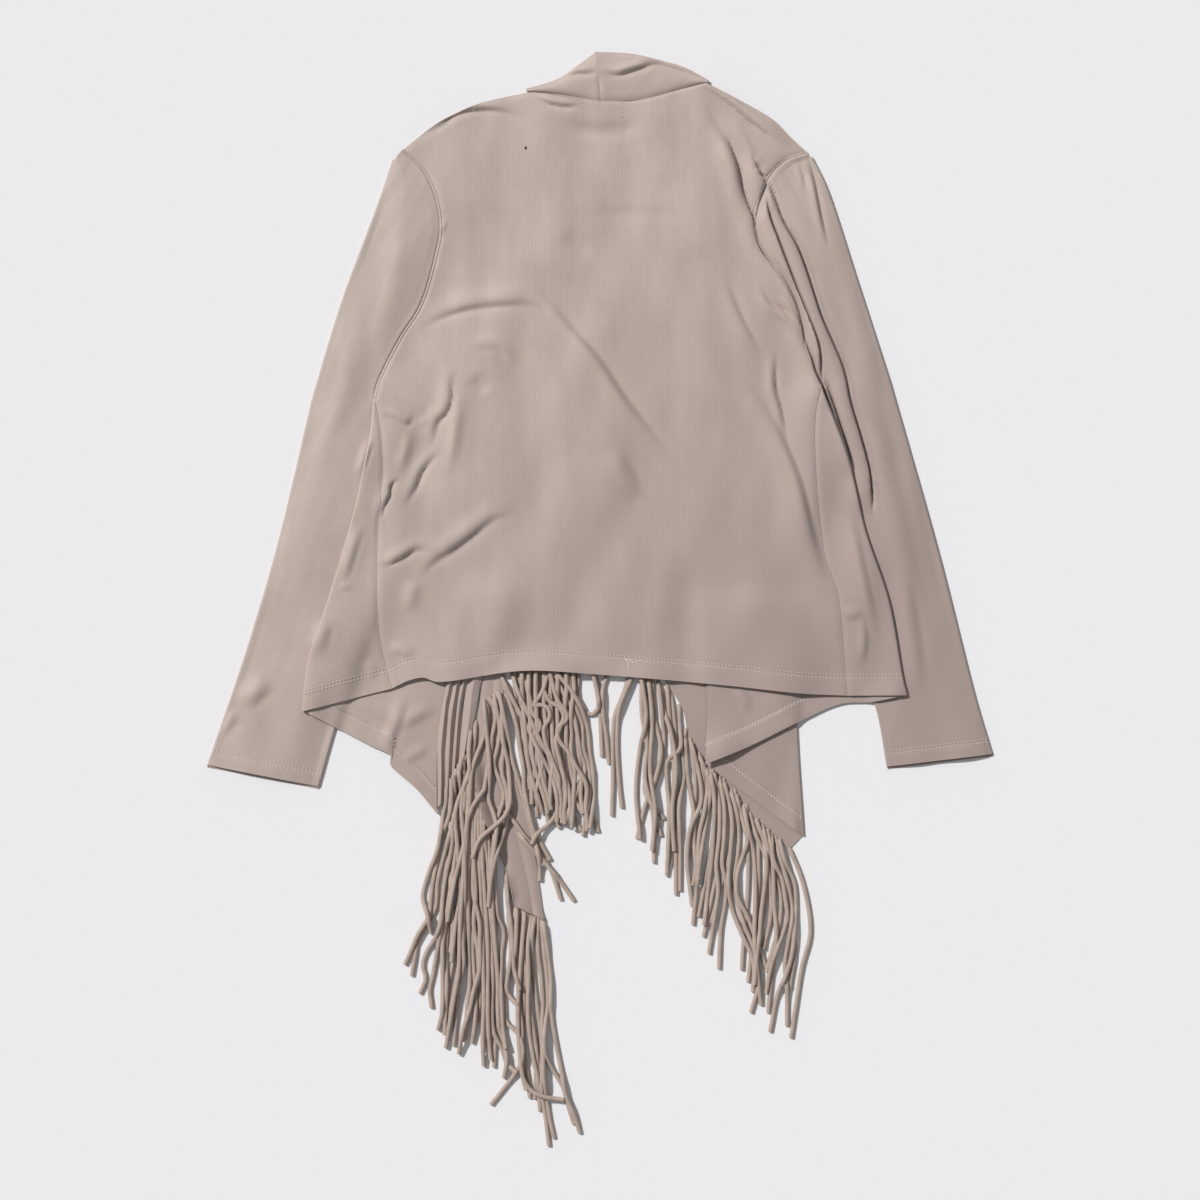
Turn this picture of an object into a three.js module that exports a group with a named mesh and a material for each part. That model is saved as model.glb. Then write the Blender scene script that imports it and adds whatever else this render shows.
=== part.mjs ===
import * as THREE from 'three';

// Wrap cardigan in fine jersey with a fringed drape front, laid flat on its front.
// Millimetres. The back faces up and the pieces lie on the surface z = 0.

// Finishes
const clothColour = 0xb8a89e;
const fringeColour = 0xb3a398;

// Cloth and sewing
const wall = 1.2;
const seamGap = 0.3;
const foldHollow = 0.8;
const foldNose = 1.6;
const seamLip = 2.6;

// Fringe cords
const cordWidth = 3.6;
const cordDepth = 2.6;
const rootDepth = 1.8;
const rootStrip = 3;
const rootDrop = 0.9;
const cordClearance = 0.5;
const cordPieces = 4;
const cordSides = 4;
const cordReach = 0.6;

// Upright folds below the hem of the left front
const pleatColumns = 4;
const pleatStart = 0.3;
const tailPleats = { count: 3, height: 2.5 };
const sidePleats = { count: 4, height: 4 };

// The lay plan is a 1200 mm square seen from above. Across runs from its left edge to the
// right and down runs from its upper edge towards the hem.
const planMiddle = 600;
const planCentre = 599.5;
const pileCell = 2;
const pileSample = 1.4;
const pileSide = 1200 / pileCell;

function table(columns, rows) {
  return rows.map((row) => Object.fromEntries(columns.map((name, i) => [name, row[i]])));
}

const places = (rows) => table(['across', 'down'], rows);
const onPlan = ({ across, down }) => new THREE.Vector3(across - planMiddle, planCentre - down, 0);

// Outlines of the back
const leftShoulder = places([[401.5, 151], [438, 123], [480, 103.5], [529, 92]]);
const leftNeck = places([[529, 92], [560, 95], [601, 101]]);
const rightNeck = places([[601, 101], [642, 99], [682, 89], [706, 83]]);
const rightShoulder = places([[706, 83], [720, 90], [773, 120], [791, 138], [807, 153]]);
const leftArmhole = places([[401.5, 151], [420, 167], [434, 193], [440, 228], [435, 256],
  [420, 305], [400, 337], [377, 384], [374.5, 397]]);
const rightArmhole = places([[807, 153], [785, 161], [767, 181], [756, 218], [759, 241],
  [776, 268], [790, 290], [800, 317], [806, 345], [819, 384]]);
const leftSideSeam = places([[374.5, 397], [381, 431], [383, 472], [378, 530], [380, 639], [392, 688]]);
const rightSideSeam = places([[819, 384], [814, 433], [824.5, 555], [837, 593], [847, 695]]);
const backHem = places([[392, 688], [409, 680], [424, 677], [437, 681], [524, 670], [600, 674],
  [728, 685], [804, 693], [847, 695]]);

// Outlines of the fronts, which wrap round the side folds to the side seams
const leftSideFold = places([[374.5, 397], [371, 432], [365, 464], [354, 513], [328, 601],
  [309, 660], [303, 710]]);
const rightSideFold = places([[819, 384], [847, 458], [865, 532], [888, 601], [902, 678], [906, 694]]);
const leftFrontHem = places([[438, 814], [417, 789], [393, 761], [366, 743], [335, 727],
  [303, 710]]);
const leftFrontEdge = places([[529, 92], [536, 150], [556, 260], [540, 450], [492, 600],
  [455, 700], [438, 814]]);
const rightFrontHem = places([[705, 763], [750, 745], [797, 722], [842, 703], [872, 701],
  [906, 694]]);
const rightFrontEdge = places([[706, 83], [700, 150], [680, 260], [690, 450], [706, 600],
  [708, 685], [705, 763]]);

// The right front's drape doubles back below the hem
const drapeFringedEdge = places([[640, 610], [650, 655], [667, 683], [683, 710], [689, 738], [705, 763],
  [736, 793], [757, 820], [789, 849]]);
const drapeFold = places([[797, 610], [797, 722], [804, 835]]);
const drapeInnerFold = places([[703, 610], [706, 700], [705, 763]]);

// The left front's drape is gathered in upright pleats with a long tail
const pleatsLeft = places([[470, 590], [447, 681], [438, 741], [437, 808]]);
const pleatsRight = places([[508, 590], [482, 677], [478, 701], [470, 744]]);
const tailLeft = places([[484, 600], [480, 690], [474, 760], [482, 812], [498, 846],
  [508, 876], [515, 905]]);
const tailRight = places([[520, 600], [503, 700], [516, 780], [532, 838], [540, 889], [544, 919]]);
const innerLeft = places([[556, 300], [545, 470], [512, 600], [508, 664]]);
const innerRight = places([[610, 300], [622, 470], [634, 600], [636, 664]]);

// Outlines of the collar, which rolls over at the top of the neck
const collarLeftRoll = places([[526, 89], [541, 85], [560, 78], [578, 65.5], [596, 52]]);
const collarRightRoll = places([[596, 52], [631, 54], [662, 61], [685, 68], [709, 81]]);
const collarLeftFacing = places([[539, 106], [560, 116], [601, 126]]);
const collarRightFacing = places([[601, 126], [650, 122], [701, 96]]);

// Outlines of the sleeves. Each outer edge runs from the shoulder to the elbow's height and on
// to the cuff. Each inner edge runs on from the armhole's foot.
const leftSleeveTop = places([[393, 160], [378, 204], [342, 301], [312, 400]]);
const leftSleeveOuter = places([[312, 400], [279, 540], [246, 652], [208, 764]]);
const leftSleeveInner = places([[374.5, 397], [398, 440], [404, 490], [392, 552], [366, 632],
  [335, 729], [319, 786]]);
const rightSleeveTop = places([[812, 157], [826, 186], [857, 280], [890, 382]]);
const rightSleeveOuter = places([[890, 382], [939, 555], [976, 700], [992, 753]]);
const rightSleeveInner = places([[819, 384], [800, 430], [796, 480], [810, 545], [837, 622],
  [874, 701], [887, 766]]);
const sleeveHeight = { cuff: 3.4, armhole: 4.2 };

// Largest folds of the cloth: a ridge from one place to the other, with its width and height
const foldColumns = ['across', 'down', 'toAcross', 'toDown', 'width', 'height'];
const backFolds = table(foldColumns, [
  [742, 140, 774, 250, 13, 5.5],
  [774, 250, 810, 380, 13, 5.5],
  [716, 130, 748, 225, 12, 3.5],
  [748, 225, 790, 330, 12, 3.5],
  [728, 290, 768, 370, 14, 2.5],
  [738, 372, 792, 470, 14, 4.5],
  [792, 470, 822, 600, 13, 3],
  [548, 292, 640, 420, 16, 3],
  [430, 335, 520, 312, 14, 2.5],
  [462, 366, 440, 450, 13, 4],
  [440, 450, 408, 520, 13, 3],
  [398, 590, 500, 526, 15, 3],
  [433, 138, 520, 124, 12, 3],
  [402, 640, 418, 580, 12, 2],
]);
const rightFrontFolds = table(foldColumns, [
  [836, 400, 858, 500, 10, 4],
  [858, 500, 872, 570, 10, 2.5],
]);
const leftFrontFolds = table(foldColumns, [
  [366, 520, 333, 640, 11, 2],
]);

// Steps along shared seams, so that both neighbours follow the same points
const steps = {
  shoulder: 8, leftNeck: 5, rightNeck: 7, armhole: 8, side: 12, sleeve: 9, section: 5, under: 7,
  strip: 4, inner: 8, innerAcross: 5, tail: 10, pleats: 7, fine: 400,
};

// Fringes in the order in which they lie. Each hangs from the edge of a piece, between two
// places across, or from hidden roots of its own. Bow is how far its cords swing out to the
// left on their way, and uneven is how much shorter the shortest cord is.
const fringes = [
  {
    name: 'fringe_right_outer', count: 27, bow: 5, uneven: 22, edge: 'drape', from: 648, to: 786,
    ends: places([[636, 850], [661, 872], [678, 900], [697, 928], [718, 968], [752, 1014],
      [776, 1037], [798, 1040]]),
  },
  {
    name: 'fringe_left_inner', count: 14, bow: -4, uneven: 18, edge: 'inner', from: 509, to: 580,
    ends: places([[530, 812], [556, 830], [592, 838]]),
  },
  {
    name: 'fringe_left_tail', count: 6, bow: 3, uneven: 24, edge: 'tail', from: 516, to: 543,
    ends: places([[512, 1100], [530, 1125], [553, 1163.3], [580, 1154]]),
  },
  {
    name: 'fringe_left_under', count: 12, bow: 2, uneven: 26,
    roots: places([[440, 826], [462, 838], [482, 860], [498, 890]]),
    ends: places([[436, 1042], [459, 1062], [484, 1076], [500, 1108]]),
  },
  {
    name: 'fringe_left_pleats', count: 6, bow: 9, uneven: 22, edge: 'pleats', from: 437.5, to: 469.5,
    ends: places([[406, 976], [424, 1008], [446, 1024]]),
  },
  {
    name: 'fringe_left_upper', count: 8, bow: 9, uneven: 20,
    roots: places([[472, 726], [483, 704], [497, 692], [514, 690]]),
    ends: places([[452, 946], [474, 930], [499, 912]]),
  },
  {
    name: 'fringe_inner_upper', count: 11, bow: -7, uneven: 20,
    roots: places([[518, 669], [545, 668], [574, 669]]),
    ends: places([[535, 820], [560, 838], [589, 842]]),
  },
  {
    name: 'fringe_centre', count: 5, bow: -2, uneven: 50, edge: 'inner', from: 592, to: 633,
    ends: places([[602, 790], [616, 822], [632, 828]]),
  },
  {
    name: 'fringe_right_upper', count: 7, bow: 3, uneven: 24,
    roots: places([[646, 668], [664, 692], [684, 726]]),
    ends: places([[642, 846], [664, 876], [690, 912]]),
  },
];

// Lines and patches

function trace(rows, count) {
  const curve = new THREE.CatmullRomCurve3(rows.map(onPlan), false, 'centripetal');
  return curve.getSpacedPoints(count);
}

function chain(...lines) {
  return lines.flatMap((points, i) => (i ? points.slice(1) : points));
}

function sideways(points, i) {
  const before = points[Math.max(i - 1, 0)];
  const after = points[Math.min(i + 1, points.length - 1)];
  const along = after.clone().sub(before).normalize();
  return new THREE.Vector3(along.y, -along.x, 0);
}

// Moves a line to its own right, seen from above and looking along it
function shifted(points, distance) {
  return points.map((point, i) => point.clone().addScaledVector(sideways(points, i), distance));
}

function patch(top, bottom, left, right) {
  const columns = top.length - 1;
  const rows = left.length - 1;
  return left.map((start, r) => top.map((head, c) => {
    const u = c / columns;
    const v = r / rows;
    return head.clone().multiplyScalar(1 - v)
      .addScaledVector(bottom[c], v)
      .addScaledVector(start, 1 - u)
      .addScaledVector(right[r], u)
      .addScaledVector(top[0], -(1 - u) * (1 - v))
      .addScaledVector(top[columns], -u * (1 - v))
      .addScaledVector(bottom[0], -(1 - u) * v)
      .addScaledVector(bottom[columns], -u * v);
  }));
}

function straight(from, to, count) {
  return Array.from({ length: count + 1 }, (_, i) => from.clone().lerp(to, i / count));
}

// The pile holds the height of what already lies below each place of the plan

const pile = new Float32Array(pileSide * pileSide);

function pileIndex(x, y) {
  const column = Math.floor((x + planMiddle) / pileCell);
  const row = Math.floor((planCentre - y) / pileCell);
  return row * pileSide + column;
}

function overFace(a, b, c, visit) {
  const longest = Math.max(a.distanceTo(b), b.distanceTo(c), c.distanceTo(a));
  const parts = Math.max(1, Math.ceil(longest / pileSample));
  for (let i = 0; i <= parts; i += 1) {
    for (let j = 0; j <= parts - i; j += 1) {
      const s = i / parts;
      const t = j / parts;
      const shares = [1 - s - t, s, t];
      const blend = (axis) => a[axis] * shares[0] + b[axis] * s + c[axis] * t;
      visit(blend('x'), blend('y'), blend('z'), shares);
    }
  }
}

function overFaces(grid, visit) {
  for (let r = 0; r + 1 < grid.length; r += 1) {
    for (let c = 0; c + 1 < grid[r].length; c += 1) {
      const corners = [grid[r][c], grid[r + 1][c], grid[r + 1][c + 1], grid[r][c + 1]];
      visit(corners[0], corners[1], corners[2]);
      visit(corners[0], corners[2], corners[3]);
    }
  }
}

function coverPile(grid) {
  overFaces(grid, (a, b, c) => overFace(a, b, c, (x, y, z) => {
    for (const dx of [-pileCell, 0, pileCell]) {
      for (const dy of [-pileCell, 0, pileCell]) {
        const index = pileIndex(x + dx, y + dy);
        pile[index] = Math.max(pile[index], z);
      }
    }
  }));
}

const settlePasses = 60;
const settleTolerance = 1e-4;

// Lifts a sheet until all of it clears the pile. No corner rises above what lies near it.
function settle(grid, clearance) {
  let lifting = true;
  for (let pass = 0; lifting && pass < settlePasses; pass += 1) {
    lifting = false;
    overFaces(grid, (...corners) => overFace(...corners, (x, y, z, shares) => {
      const below = pile[pileIndex(x, y)];
      const wanted = below > 0 ? below + clearance : 0;
      if (wanted - z < settleTolerance) return;
      lifting = true;
      const byShare = [0, 1, 2].sort((i, j) => shares[j] - shares[i]);
      for (const i of byShare) {
        const height = corners.reduce((sum, corner, k) => sum + corner.z * shares[k], 0);
        const short = wanted - height;
        if (short > 0 && corners[i].z < wanted && shares[i] > 0) {
          corners[i].z = Math.min(wanted, corners[i].z + short / shares[i]);
        }
      }
    }));
  }
  return grid;
}

const easeRounds = { under: 2, back: 4 };

// Spreads each lift to the points around it, so that a sheet rises gently over a step
function eased(grid, rounds) {
  for (let round = 0; round < rounds; round += 1) {
    const before = grid.map((row) => row.map((point) => point.z));
    grid.forEach((row, r) => row.forEach((point, c) => {
      const near = [before[r - 1]?.[c], before[r + 1]?.[c], row[c - 1] && before[r][c - 1],
        row[c + 1] && before[r][c + 1]].filter((z) => z !== undefined);
      const mean = near.reduce((sum, z) => sum + z, 0) / near.length;
      point.z = Math.max(point.z, mean);
    }));
  }
  return grid;
}

function ridgeHeight(point, folds) {
  let height = 0;
  for (const fold of folds) {
    const from = onPlan(fold);
    const to = onPlan({ across: fold.toAcross, down: fold.toDown });
    const run = to.clone().sub(from);
    const flat = new THREE.Vector3(point.x, point.y, 0).sub(from);
    const along = THREE.MathUtils.clamp(flat.dot(run) / run.lengthSq(), 0, 1);
    const off = flat.distanceTo(run.clone().multiplyScalar(along)) / fold.width;
    height = Math.max(height, fold.height * Math.exp(-off * off));
  }
  return height;
}

function raised(grid, folds) {
  for (const point of grid.flat()) point.z += ridgeHeight(point, folds);
  return grid;
}

function lifted(grid, height) {
  return grid.map((row) => row.map((point) => point.clone().setZ(point.z + height)));
}

// Solids

function solid(name, vertices, faces, colour) {
  const positions = vertices.flatMap((vertex) => [vertex.x, vertex.y, vertex.z]);
  const volume = faces.reduce((sum, [a, b, c]) => (
    sum + vertices[a].dot(vertices[b].clone().cross(vertices[c]))), 0);
  const outward = volume > 0 ? faces : faces.map(([a, b, c]) => [a, c, b]);
  const geometry = new THREE.BufferGeometry();
  geometry.setAttribute('position', new THREE.Float32BufferAttribute(positions, 3));
  geometry.setIndex(outward.flat());
  geometry.computeVertexNormals();
  const material = new THREE.MeshStandardMaterial({ color: colour, roughness: 0.9 });
  const mesh = new THREE.Mesh(geometry, material);
  mesh.name = name;
  return mesh;
}

// A wall between two like grids. A ring wall closes on itself along its rows.
function shell(name, outer, inner, ring = false) {
  const rows = outer.length;
  const columns = outer[0].length;
  const vertices = [...outer.flat(), ...inner.flat()];
  const at = (side, r, c) => side * rows * columns + r * columns + (c % columns);
  const faces = [];
  const quad = (a, b, c, d) => faces.push([a, b, c], [a, c, d]);
  const spans = ring ? columns : columns - 1;
  for (let c = 0; c < spans; c += 1) {
    for (let r = 0; r + 1 < rows; r += 1) {
      quad(at(0, r, c), at(0, r + 1, c), at(0, r + 1, c + 1), at(0, r, c + 1));
      quad(at(1, r, c), at(1, r, c + 1), at(1, r + 1, c + 1), at(1, r + 1, c));
    }
    quad(at(0, 0, c), at(0, 0, c + 1), at(1, 0, c + 1), at(1, 0, c));
    quad(at(0, rows - 1, c), at(1, rows - 1, c), at(1, rows - 1, c + 1), at(0, rows - 1, c + 1));
  }
  for (let r = 0; !ring && r + 1 < rows; r += 1) {
    quad(at(0, r, 0), at(1, r, 0), at(1, r + 1, 0), at(0, r + 1, 0));
    const last = columns - 1;
    quad(at(0, r, last), at(0, r + 1, last), at(1, r + 1, last), at(1, r, last));
  }
  return solid(name, vertices, faces, clothColour);
}

// Degrees round a fold at which its curve has a point
const sleeveTurn = [-90, -45, 0, 45, 90];
const foldTurn = [-45, 0, 45];

// A sleeve is a flattened tube from the shoulder to the open cuff. Its inner side follows the
// armhole first.
function sleeve(name, topRows, outerRows, innerRows, armhole) {
  const outerEdge = chain(trace(topRows, steps.armhole), trace(outerRows, steps.sleeve));
  const innerEdge = chain(armhole, trace(innerRows, steps.sleeve));
  const leave = [outwards(outerEdge, innerEdge), outwards(innerEdge, outerEdge)];
  const last = outerEdge.length - 1;
  const heights = outerEdge.map((_, ring) => (
    THREE.MathUtils.lerp(sleeveHeight.armhole, sleeveHeight.cuff, ring / last)));
  const turned = [outerEdge, innerEdge].map((edge, side) => edge.map((point, ring) => (
    point.clone().addScaledVector(leave[side][ring], -heights[ring] / 2))));
  const sections = turned[0].map((start, ring) => straight(start, turned[1][ring], steps.section));
  const ringOf = (line, ring, inset) => {
    const radius = heights[ring] / 2;
    const turn = (side, angle) => line[side * steps.section].clone()
      .addScaledVector(leave[side][ring], (radius - inset) * Math.cos(angle))
      .setZ(radius + (radius - inset) * Math.sin(angle));
    const angles = sleeveTurn.map(THREE.MathUtils.degToRad);
    const middle = line.slice(1, -1);
    return [
      ...angles.map((angle) => turn(0, angle)),
      ...middle.map((point) => point.clone().setZ(heights[ring] - inset)),
      ...angles.toReversed().map((angle) => turn(1, angle)),
      ...middle.toReversed().map((point) => point.clone().setZ(inset)),
    ];
  };
  const outer = sections.map((line, ring) => ringOf(line, ring, 0));
  const inner = sections.map((line, ring) => ringOf(line, ring, wall));
  const crown = sections.map((line, ring) => line.map((point) => point.clone().setZ(heights[ring])));
  coverPile(crown.slice(steps.armhole));
  return shell(name, outer, inner, true);
}

// Directions that leave a piece squarely at its fold
function outwards(fold, inner) {
  return fold.map((point, r) => {
    const side = sideways(fold, r);
    return side.dot(point.clone().sub(inner[r])) > 0 ? side : side.negate();
  });
}

// A doubled piece lies flat from its inner edge to a fold and comes back over itself to a seam.
// The lower layer is laid at once and the upper one when all lower layers lie.
function doubled(name, { inner, fold, seam, top, bottom, folds = [], covers = false,
  toFold = outwards(fold, inner) }) {
  const turn = fold.map((point, r) => point.clone().addScaledVector(toFold[r], -foldNose));
  const under = eased(settle(patch(top, bottom, inner, turn), seamGap), easeRounds.under);
  coverPile(lifted(under, wall));
  return () => {
    const over = turn.map((point, r) => straight(point, seam[r], steps.strip));
    settle(over, foldHollow);
    raised(over, folds);
    if (covers) coverPile(lifted(over, wall));
    const nose = foldTurn.map(THREE.MathUtils.degToRad);
    const side = (inset) => under.map((row, r) => {
      const low = row[row.length - 1].z + inset;
      const high = over[r][0].z + wall - inset;
      const curve = nose.map((angle) => turn[r].clone()
        .addScaledVector(toFold[r], (foldNose - inset) * Math.cos(angle))
        .setZ((low + high) / 2 + ((high - low) / 2) * Math.sin(angle)));
      return [...lifted([row], inset)[0], ...curve, ...lifted([over[r]], wall - inset)[0]];
    });
    return shell(name, side(0), side(wall));
  };
}

function panel(name, grid, folds = []) {
  settle(grid, seamGap);
  raised(grid, folds);
  coverPile(lifted(grid, wall));
  return shell(name, grid, lifted(grid, wall));
}

// Pleats stand as waves across a panel, each row with the same number of them
function pleated(name, left, right, bottom, { count, height }) {
  const columns = count * pleatColumns;
  const rows = left.length - 1;
  const grid = patch(straight(left[0], right[0], columns), bottom(columns), left, right);
  eased(settle(grid, seamGap), easeRounds.under);
  grid.forEach((row, r) => row.forEach((point, c) => {
    const wave = (1 - Math.cos((2 * Math.PI * count * c) / columns)) / 2;
    point.z += height * wave * Math.min(1, pleatStart + r / rows);
  }));
  coverPile(lifted(grid, wall));
  return shell(name, grid, lifted(grid, wall));
}

// A fringe is a narrow strip with cords that leave it side by side
const acrossTolerance = 1e-6;

function evenlyAcross(points, count, start = points[0].x, end = points[points.length - 1].x) {
  const span = end - start;
  return Array.from({ length: count }, (_, i) => {
    const x = start + (span * i) / (count - 1);
    const next = Math.max(1, points.findIndex((point) => point.x >= x - acrossTolerance));
    const [a, b] = [points[next - 1], points[next]];
    return a.clone().lerp(b, THREE.MathUtils.clamp((x - a.x) / (b.x - a.x), 0, 1));
  });
}

// Cords differ in length by a fixed uneven beat between 0 and 1
const beats = table(['share', 'turn'], [[0.3, 2.4], [0.2, 5.3]]);

function beat(i) {
  return beats.reduce((sum, { share, turn }) => sum + share * Math.sin(i * turn), 0.5);
}

function cordHeight(from, to) {
  let height = 0;
  const along = to.clone().sub(from).setZ(0);
  const side = new THREE.Vector3(along.y, -along.x, 0).normalize();
  const parts = Math.ceil(along.length() / pileCell);
  for (let i = 0; i <= parts; i += 1) {
    for (const off of [-1, 0, 1]) {
      const spot = from.clone().addScaledVector(along, i / parts)
        .addScaledVector(side, off * cordWidth * cordReach);
      height = Math.max(height, pile[pileIndex(spot.x, spot.y)]);
    }
  }
  return height;
}

function rootLine({ roots, edge, from, to, count }) {
  const points = edge ? clothEdges[edge] : trace(roots, steps.fine);
  const ends = edge ? [from - planMiddle, to - planMiddle] : [];
  return evenlyAcross(points, count * 2, ...ends)
    .map((point) => point.setY(point.y - rootDrop));
}

function fringe(row) {
  const { name, ends, count, bow, uneven } = row;
  const stations = count * 2;
  const rootPoints = rootLine(row);
  const endPoints = evenlyAcross(trace(ends, steps.fine), count);
  const vertices = [];
  const faces = [];
  const quad = (a, b, c, d) => faces.push([a, b, c], [a, c, d]);
  const strip = rootPoints.map((point, i) => {
    const spread = cordWidth / 2;
    const middle = rootPoints[i - (i % 2)].clone().lerp(rootPoints[i - (i % 2) + 1], 0.5);
    const aside = i % 2 ? spread : -spread;
    const back = middle.clone().setX(middle.x + aside);
    back.y = THREE.MathUtils.lerp(middle.y, point.y, Math.abs(aside / (point.x - middle.x)));
    return { back, front: back.clone().setY(back.y - rootStrip) };
  });
  const routes = endPoints.map((point, k) => {
    const start = strip[2 * k].front.clone().lerp(strip[2 * k + 1].front, 0.5);
    const end = point.clone().setY(point.y + uneven * beat(k));
    return straight(start, end, cordPieces).map((stop, i) => (
      stop.setX(stop.x - bow * Math.sin((Math.PI * i) / cordPieces))));
  });
  const level = Math.max(cordClearance,
    ...strip.map(({ back, front }) => cordHeight(back, front) + seamGap),
    ...routes.map(([start, next]) => cordHeight(start, next) + seamGap));
  strip.forEach(({ back, front }) => {
    vertices.push(back.clone().setZ(level), front.clone().setZ(level),
      front.clone().setZ(level + rootDepth), back.clone().setZ(level + rootDepth));
  });
  const at = (station, corner) => station * cordSides + corner;
  quad(at(0, 0), at(0, 1), at(0, 2), at(0, 3));
  quad(at(stations - 1, 3), at(stations - 1, 2), at(stations - 1, 1), at(stations - 1, 0));
  const tops = [];
  for (let s = 0; s + 1 < stations; s += 1) {
    quad(at(s, 0), at(s + 1, 0), at(s + 1, 1), at(s, 1));
    quad(at(s, 3), at(s, 2), at(s + 1, 2), at(s + 1, 3));
    quad(at(s, 0), at(s, 3), at(s + 1, 3), at(s + 1, 0));
    if (s % 2) quad(at(s, 1), at(s + 1, 1), at(s + 1, 2), at(s, 2));
  }
  for (let k = 0; k < count; k += 1) {
    const route = routes[k];
    let ring = [at(2 * k, 1), at(2 * k + 1, 1), at(2 * k + 1, 2), at(2 * k, 2)];
    const cordTop = [[strip[2 * k].front.clone().setZ(level + rootDepth),
      strip[2 * k + 1].front.clone().setZ(level + rootDepth)]];
    for (let i = 1; i <= cordPieces; i += 1) {
      const near = [route[i - 1], route[i], route[Math.min(i + 1, cordPieces)]];
      const low = Math.max(cordClearance, seamGap + Math.max(cordHeight(near[0], near[1]),
        near[1] === near[2] ? 0 : cordHeight(near[1], near[2])));
      const side = sideways(route, i).multiplyScalar(-cordWidth / 2);
      const left = route[i].clone().add(side.x < 0 ? side : side.negate());
      const right = route[i].clone().multiplyScalar(2).sub(left);
      const first = vertices.length;
      vertices.push(left.clone().setZ(low), right.clone().setZ(low),
        right.clone().setZ(low + cordDepth), left.clone().setZ(low + cordDepth));
      const next = [first, first + 1, first + 2, first + 3];
      for (let face = 0; face < cordSides; face += 1) {
        const after = (face + 1) % cordSides;
        quad(ring[face], ring[after], next[after], next[face]);
      }
      cordTop.push([vertices[first + 3], vertices[first + 2]]);
      ring = next;
    }
    quad(ring[0], ring[1], ring[2], ring[3]);
    tops.push(cordTop);
  }
  tops.push([strip.map(({ back }) => back.clone().setZ(level + rootDepth)),
    strip.map(({ front }) => front.clone().setZ(level + rootDepth))]);
  tops.forEach(coverPile);
  return solid(name, vertices, faces, fringeColour);
}

// Shared seams
const armholeLeft = trace(leftArmhole, steps.armhole);
const armholeRight = trace(rightArmhole, steps.armhole);
const sideLeft = trace(leftSideSeam, steps.side);
const sideRight = trace(rightSideSeam, steps.side);
const seamLeft = chain(shifted(armholeLeft, -seamLip), sideLeft);
const seamRight = chain(shifted(armholeRight, seamLip), sideRight);
const neckLeft = trace(leftNeck, steps.leftNeck);
const neckRight = trace(rightNeck, steps.rightNeck);

// Cloth edges that carry a fringe
const clothEdges = {
  drape: trace(drapeFringedEdge, steps.side),
  inner: [onPlan(innerLeft.at(-1)), onPlan(innerRight.at(-1))],
  tail: [onPlan(tailLeft.at(-1)), onPlan(tailRight.at(-1))],
  pleats: [onPlan(pleatsLeft.at(-1)), onPlan(pleatsRight.at(-1))],
};

function sleeves() {
  return [
    sleeve('sleeve_left', leftSleeveTop, leftSleeveOuter, leftSleeveInner,
      shifted(armholeLeft, seamGap)),
    sleeve('sleeve_right', rightSleeveTop, rightSleeveOuter, rightSleeveInner,
      shifted(armholeRight, -seamGap)),
  ];
}

function rightDrape() {
  const inner = clothEdges.drape;
  const fold = trace(drapeFold, steps.side);
  const seam = trace(drapeInnerFold, steps.side);
  const last = steps.side;
  return doubled('front_right_drape', {
    inner, fold, seam,
    top: straight(inner[0], fold[0], steps.under),
    bottom: straight(inner[last], fold[last], steps.under),
    covers: true,
  })();
}

function front(name, { edge, armhole, sideFold, hem, shoulder, seam, folds }) {
  const rows = steps.armhole + steps.side;
  const fold = chain(armhole, trace(sideFold, steps.side));
  return doubled(name, {
    inner: trace(edge, rows),
    fold,
    seam,
    top: trace(shoulder, steps.under),
    bottom: trace(hem, steps.under),
    folds,
  });
}

// The two halves of the collar meet in the seam at the middle of the neck
function collarHalf(name, from, to, aside) {
  const fold = chain(trace(collarLeftRoll, steps.leftNeck), trace(collarRightRoll, steps.rightNeck));
  const inner = chain(trace(collarLeftFacing, steps.leftNeck),
    trace(collarRightFacing, steps.rightNeck));
  const toFold = outwards(fold, inner).slice(from, to + 1);
  const half = (points) => points.slice(from, to + 1)
    .map((point) => point.clone().setX(point.x + aside));
  const lines = { inner: half(inner), fold: half(fold), seam: half(chain(neckLeft, neckRight)) };
  const last = to - from;
  return doubled(name, {
    ...lines, toFold,
    top: straight(lines.inner[0], lines.fold[0], steps.strip),
    bottom: straight(lines.inner[last], lines.fold[last], steps.strip),
  });
}

function backPanel() {
  const top = chain(trace(leftShoulder, steps.shoulder), neckLeft, neckRight,
    trace(rightShoulder, steps.shoulder));
  const columns = top.length - 1;
  const left = shifted(seamLeft, -seamGap);
  const right = shifted(seamRight, seamGap);
  const neckline = [left[0], ...shifted(top, seamGap).slice(1, columns), right[0]];
  const hem = [left.at(-1), ...trace(backHem, columns).slice(1, columns), right.at(-1)];
  const grid = patch(neckline, hem, left, right);
  eased(settle(grid, foldHollow), easeRounds.back);
  raised(grid, backFolds);
  return shell('back', grid, lifted(grid, wall));
}

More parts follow.
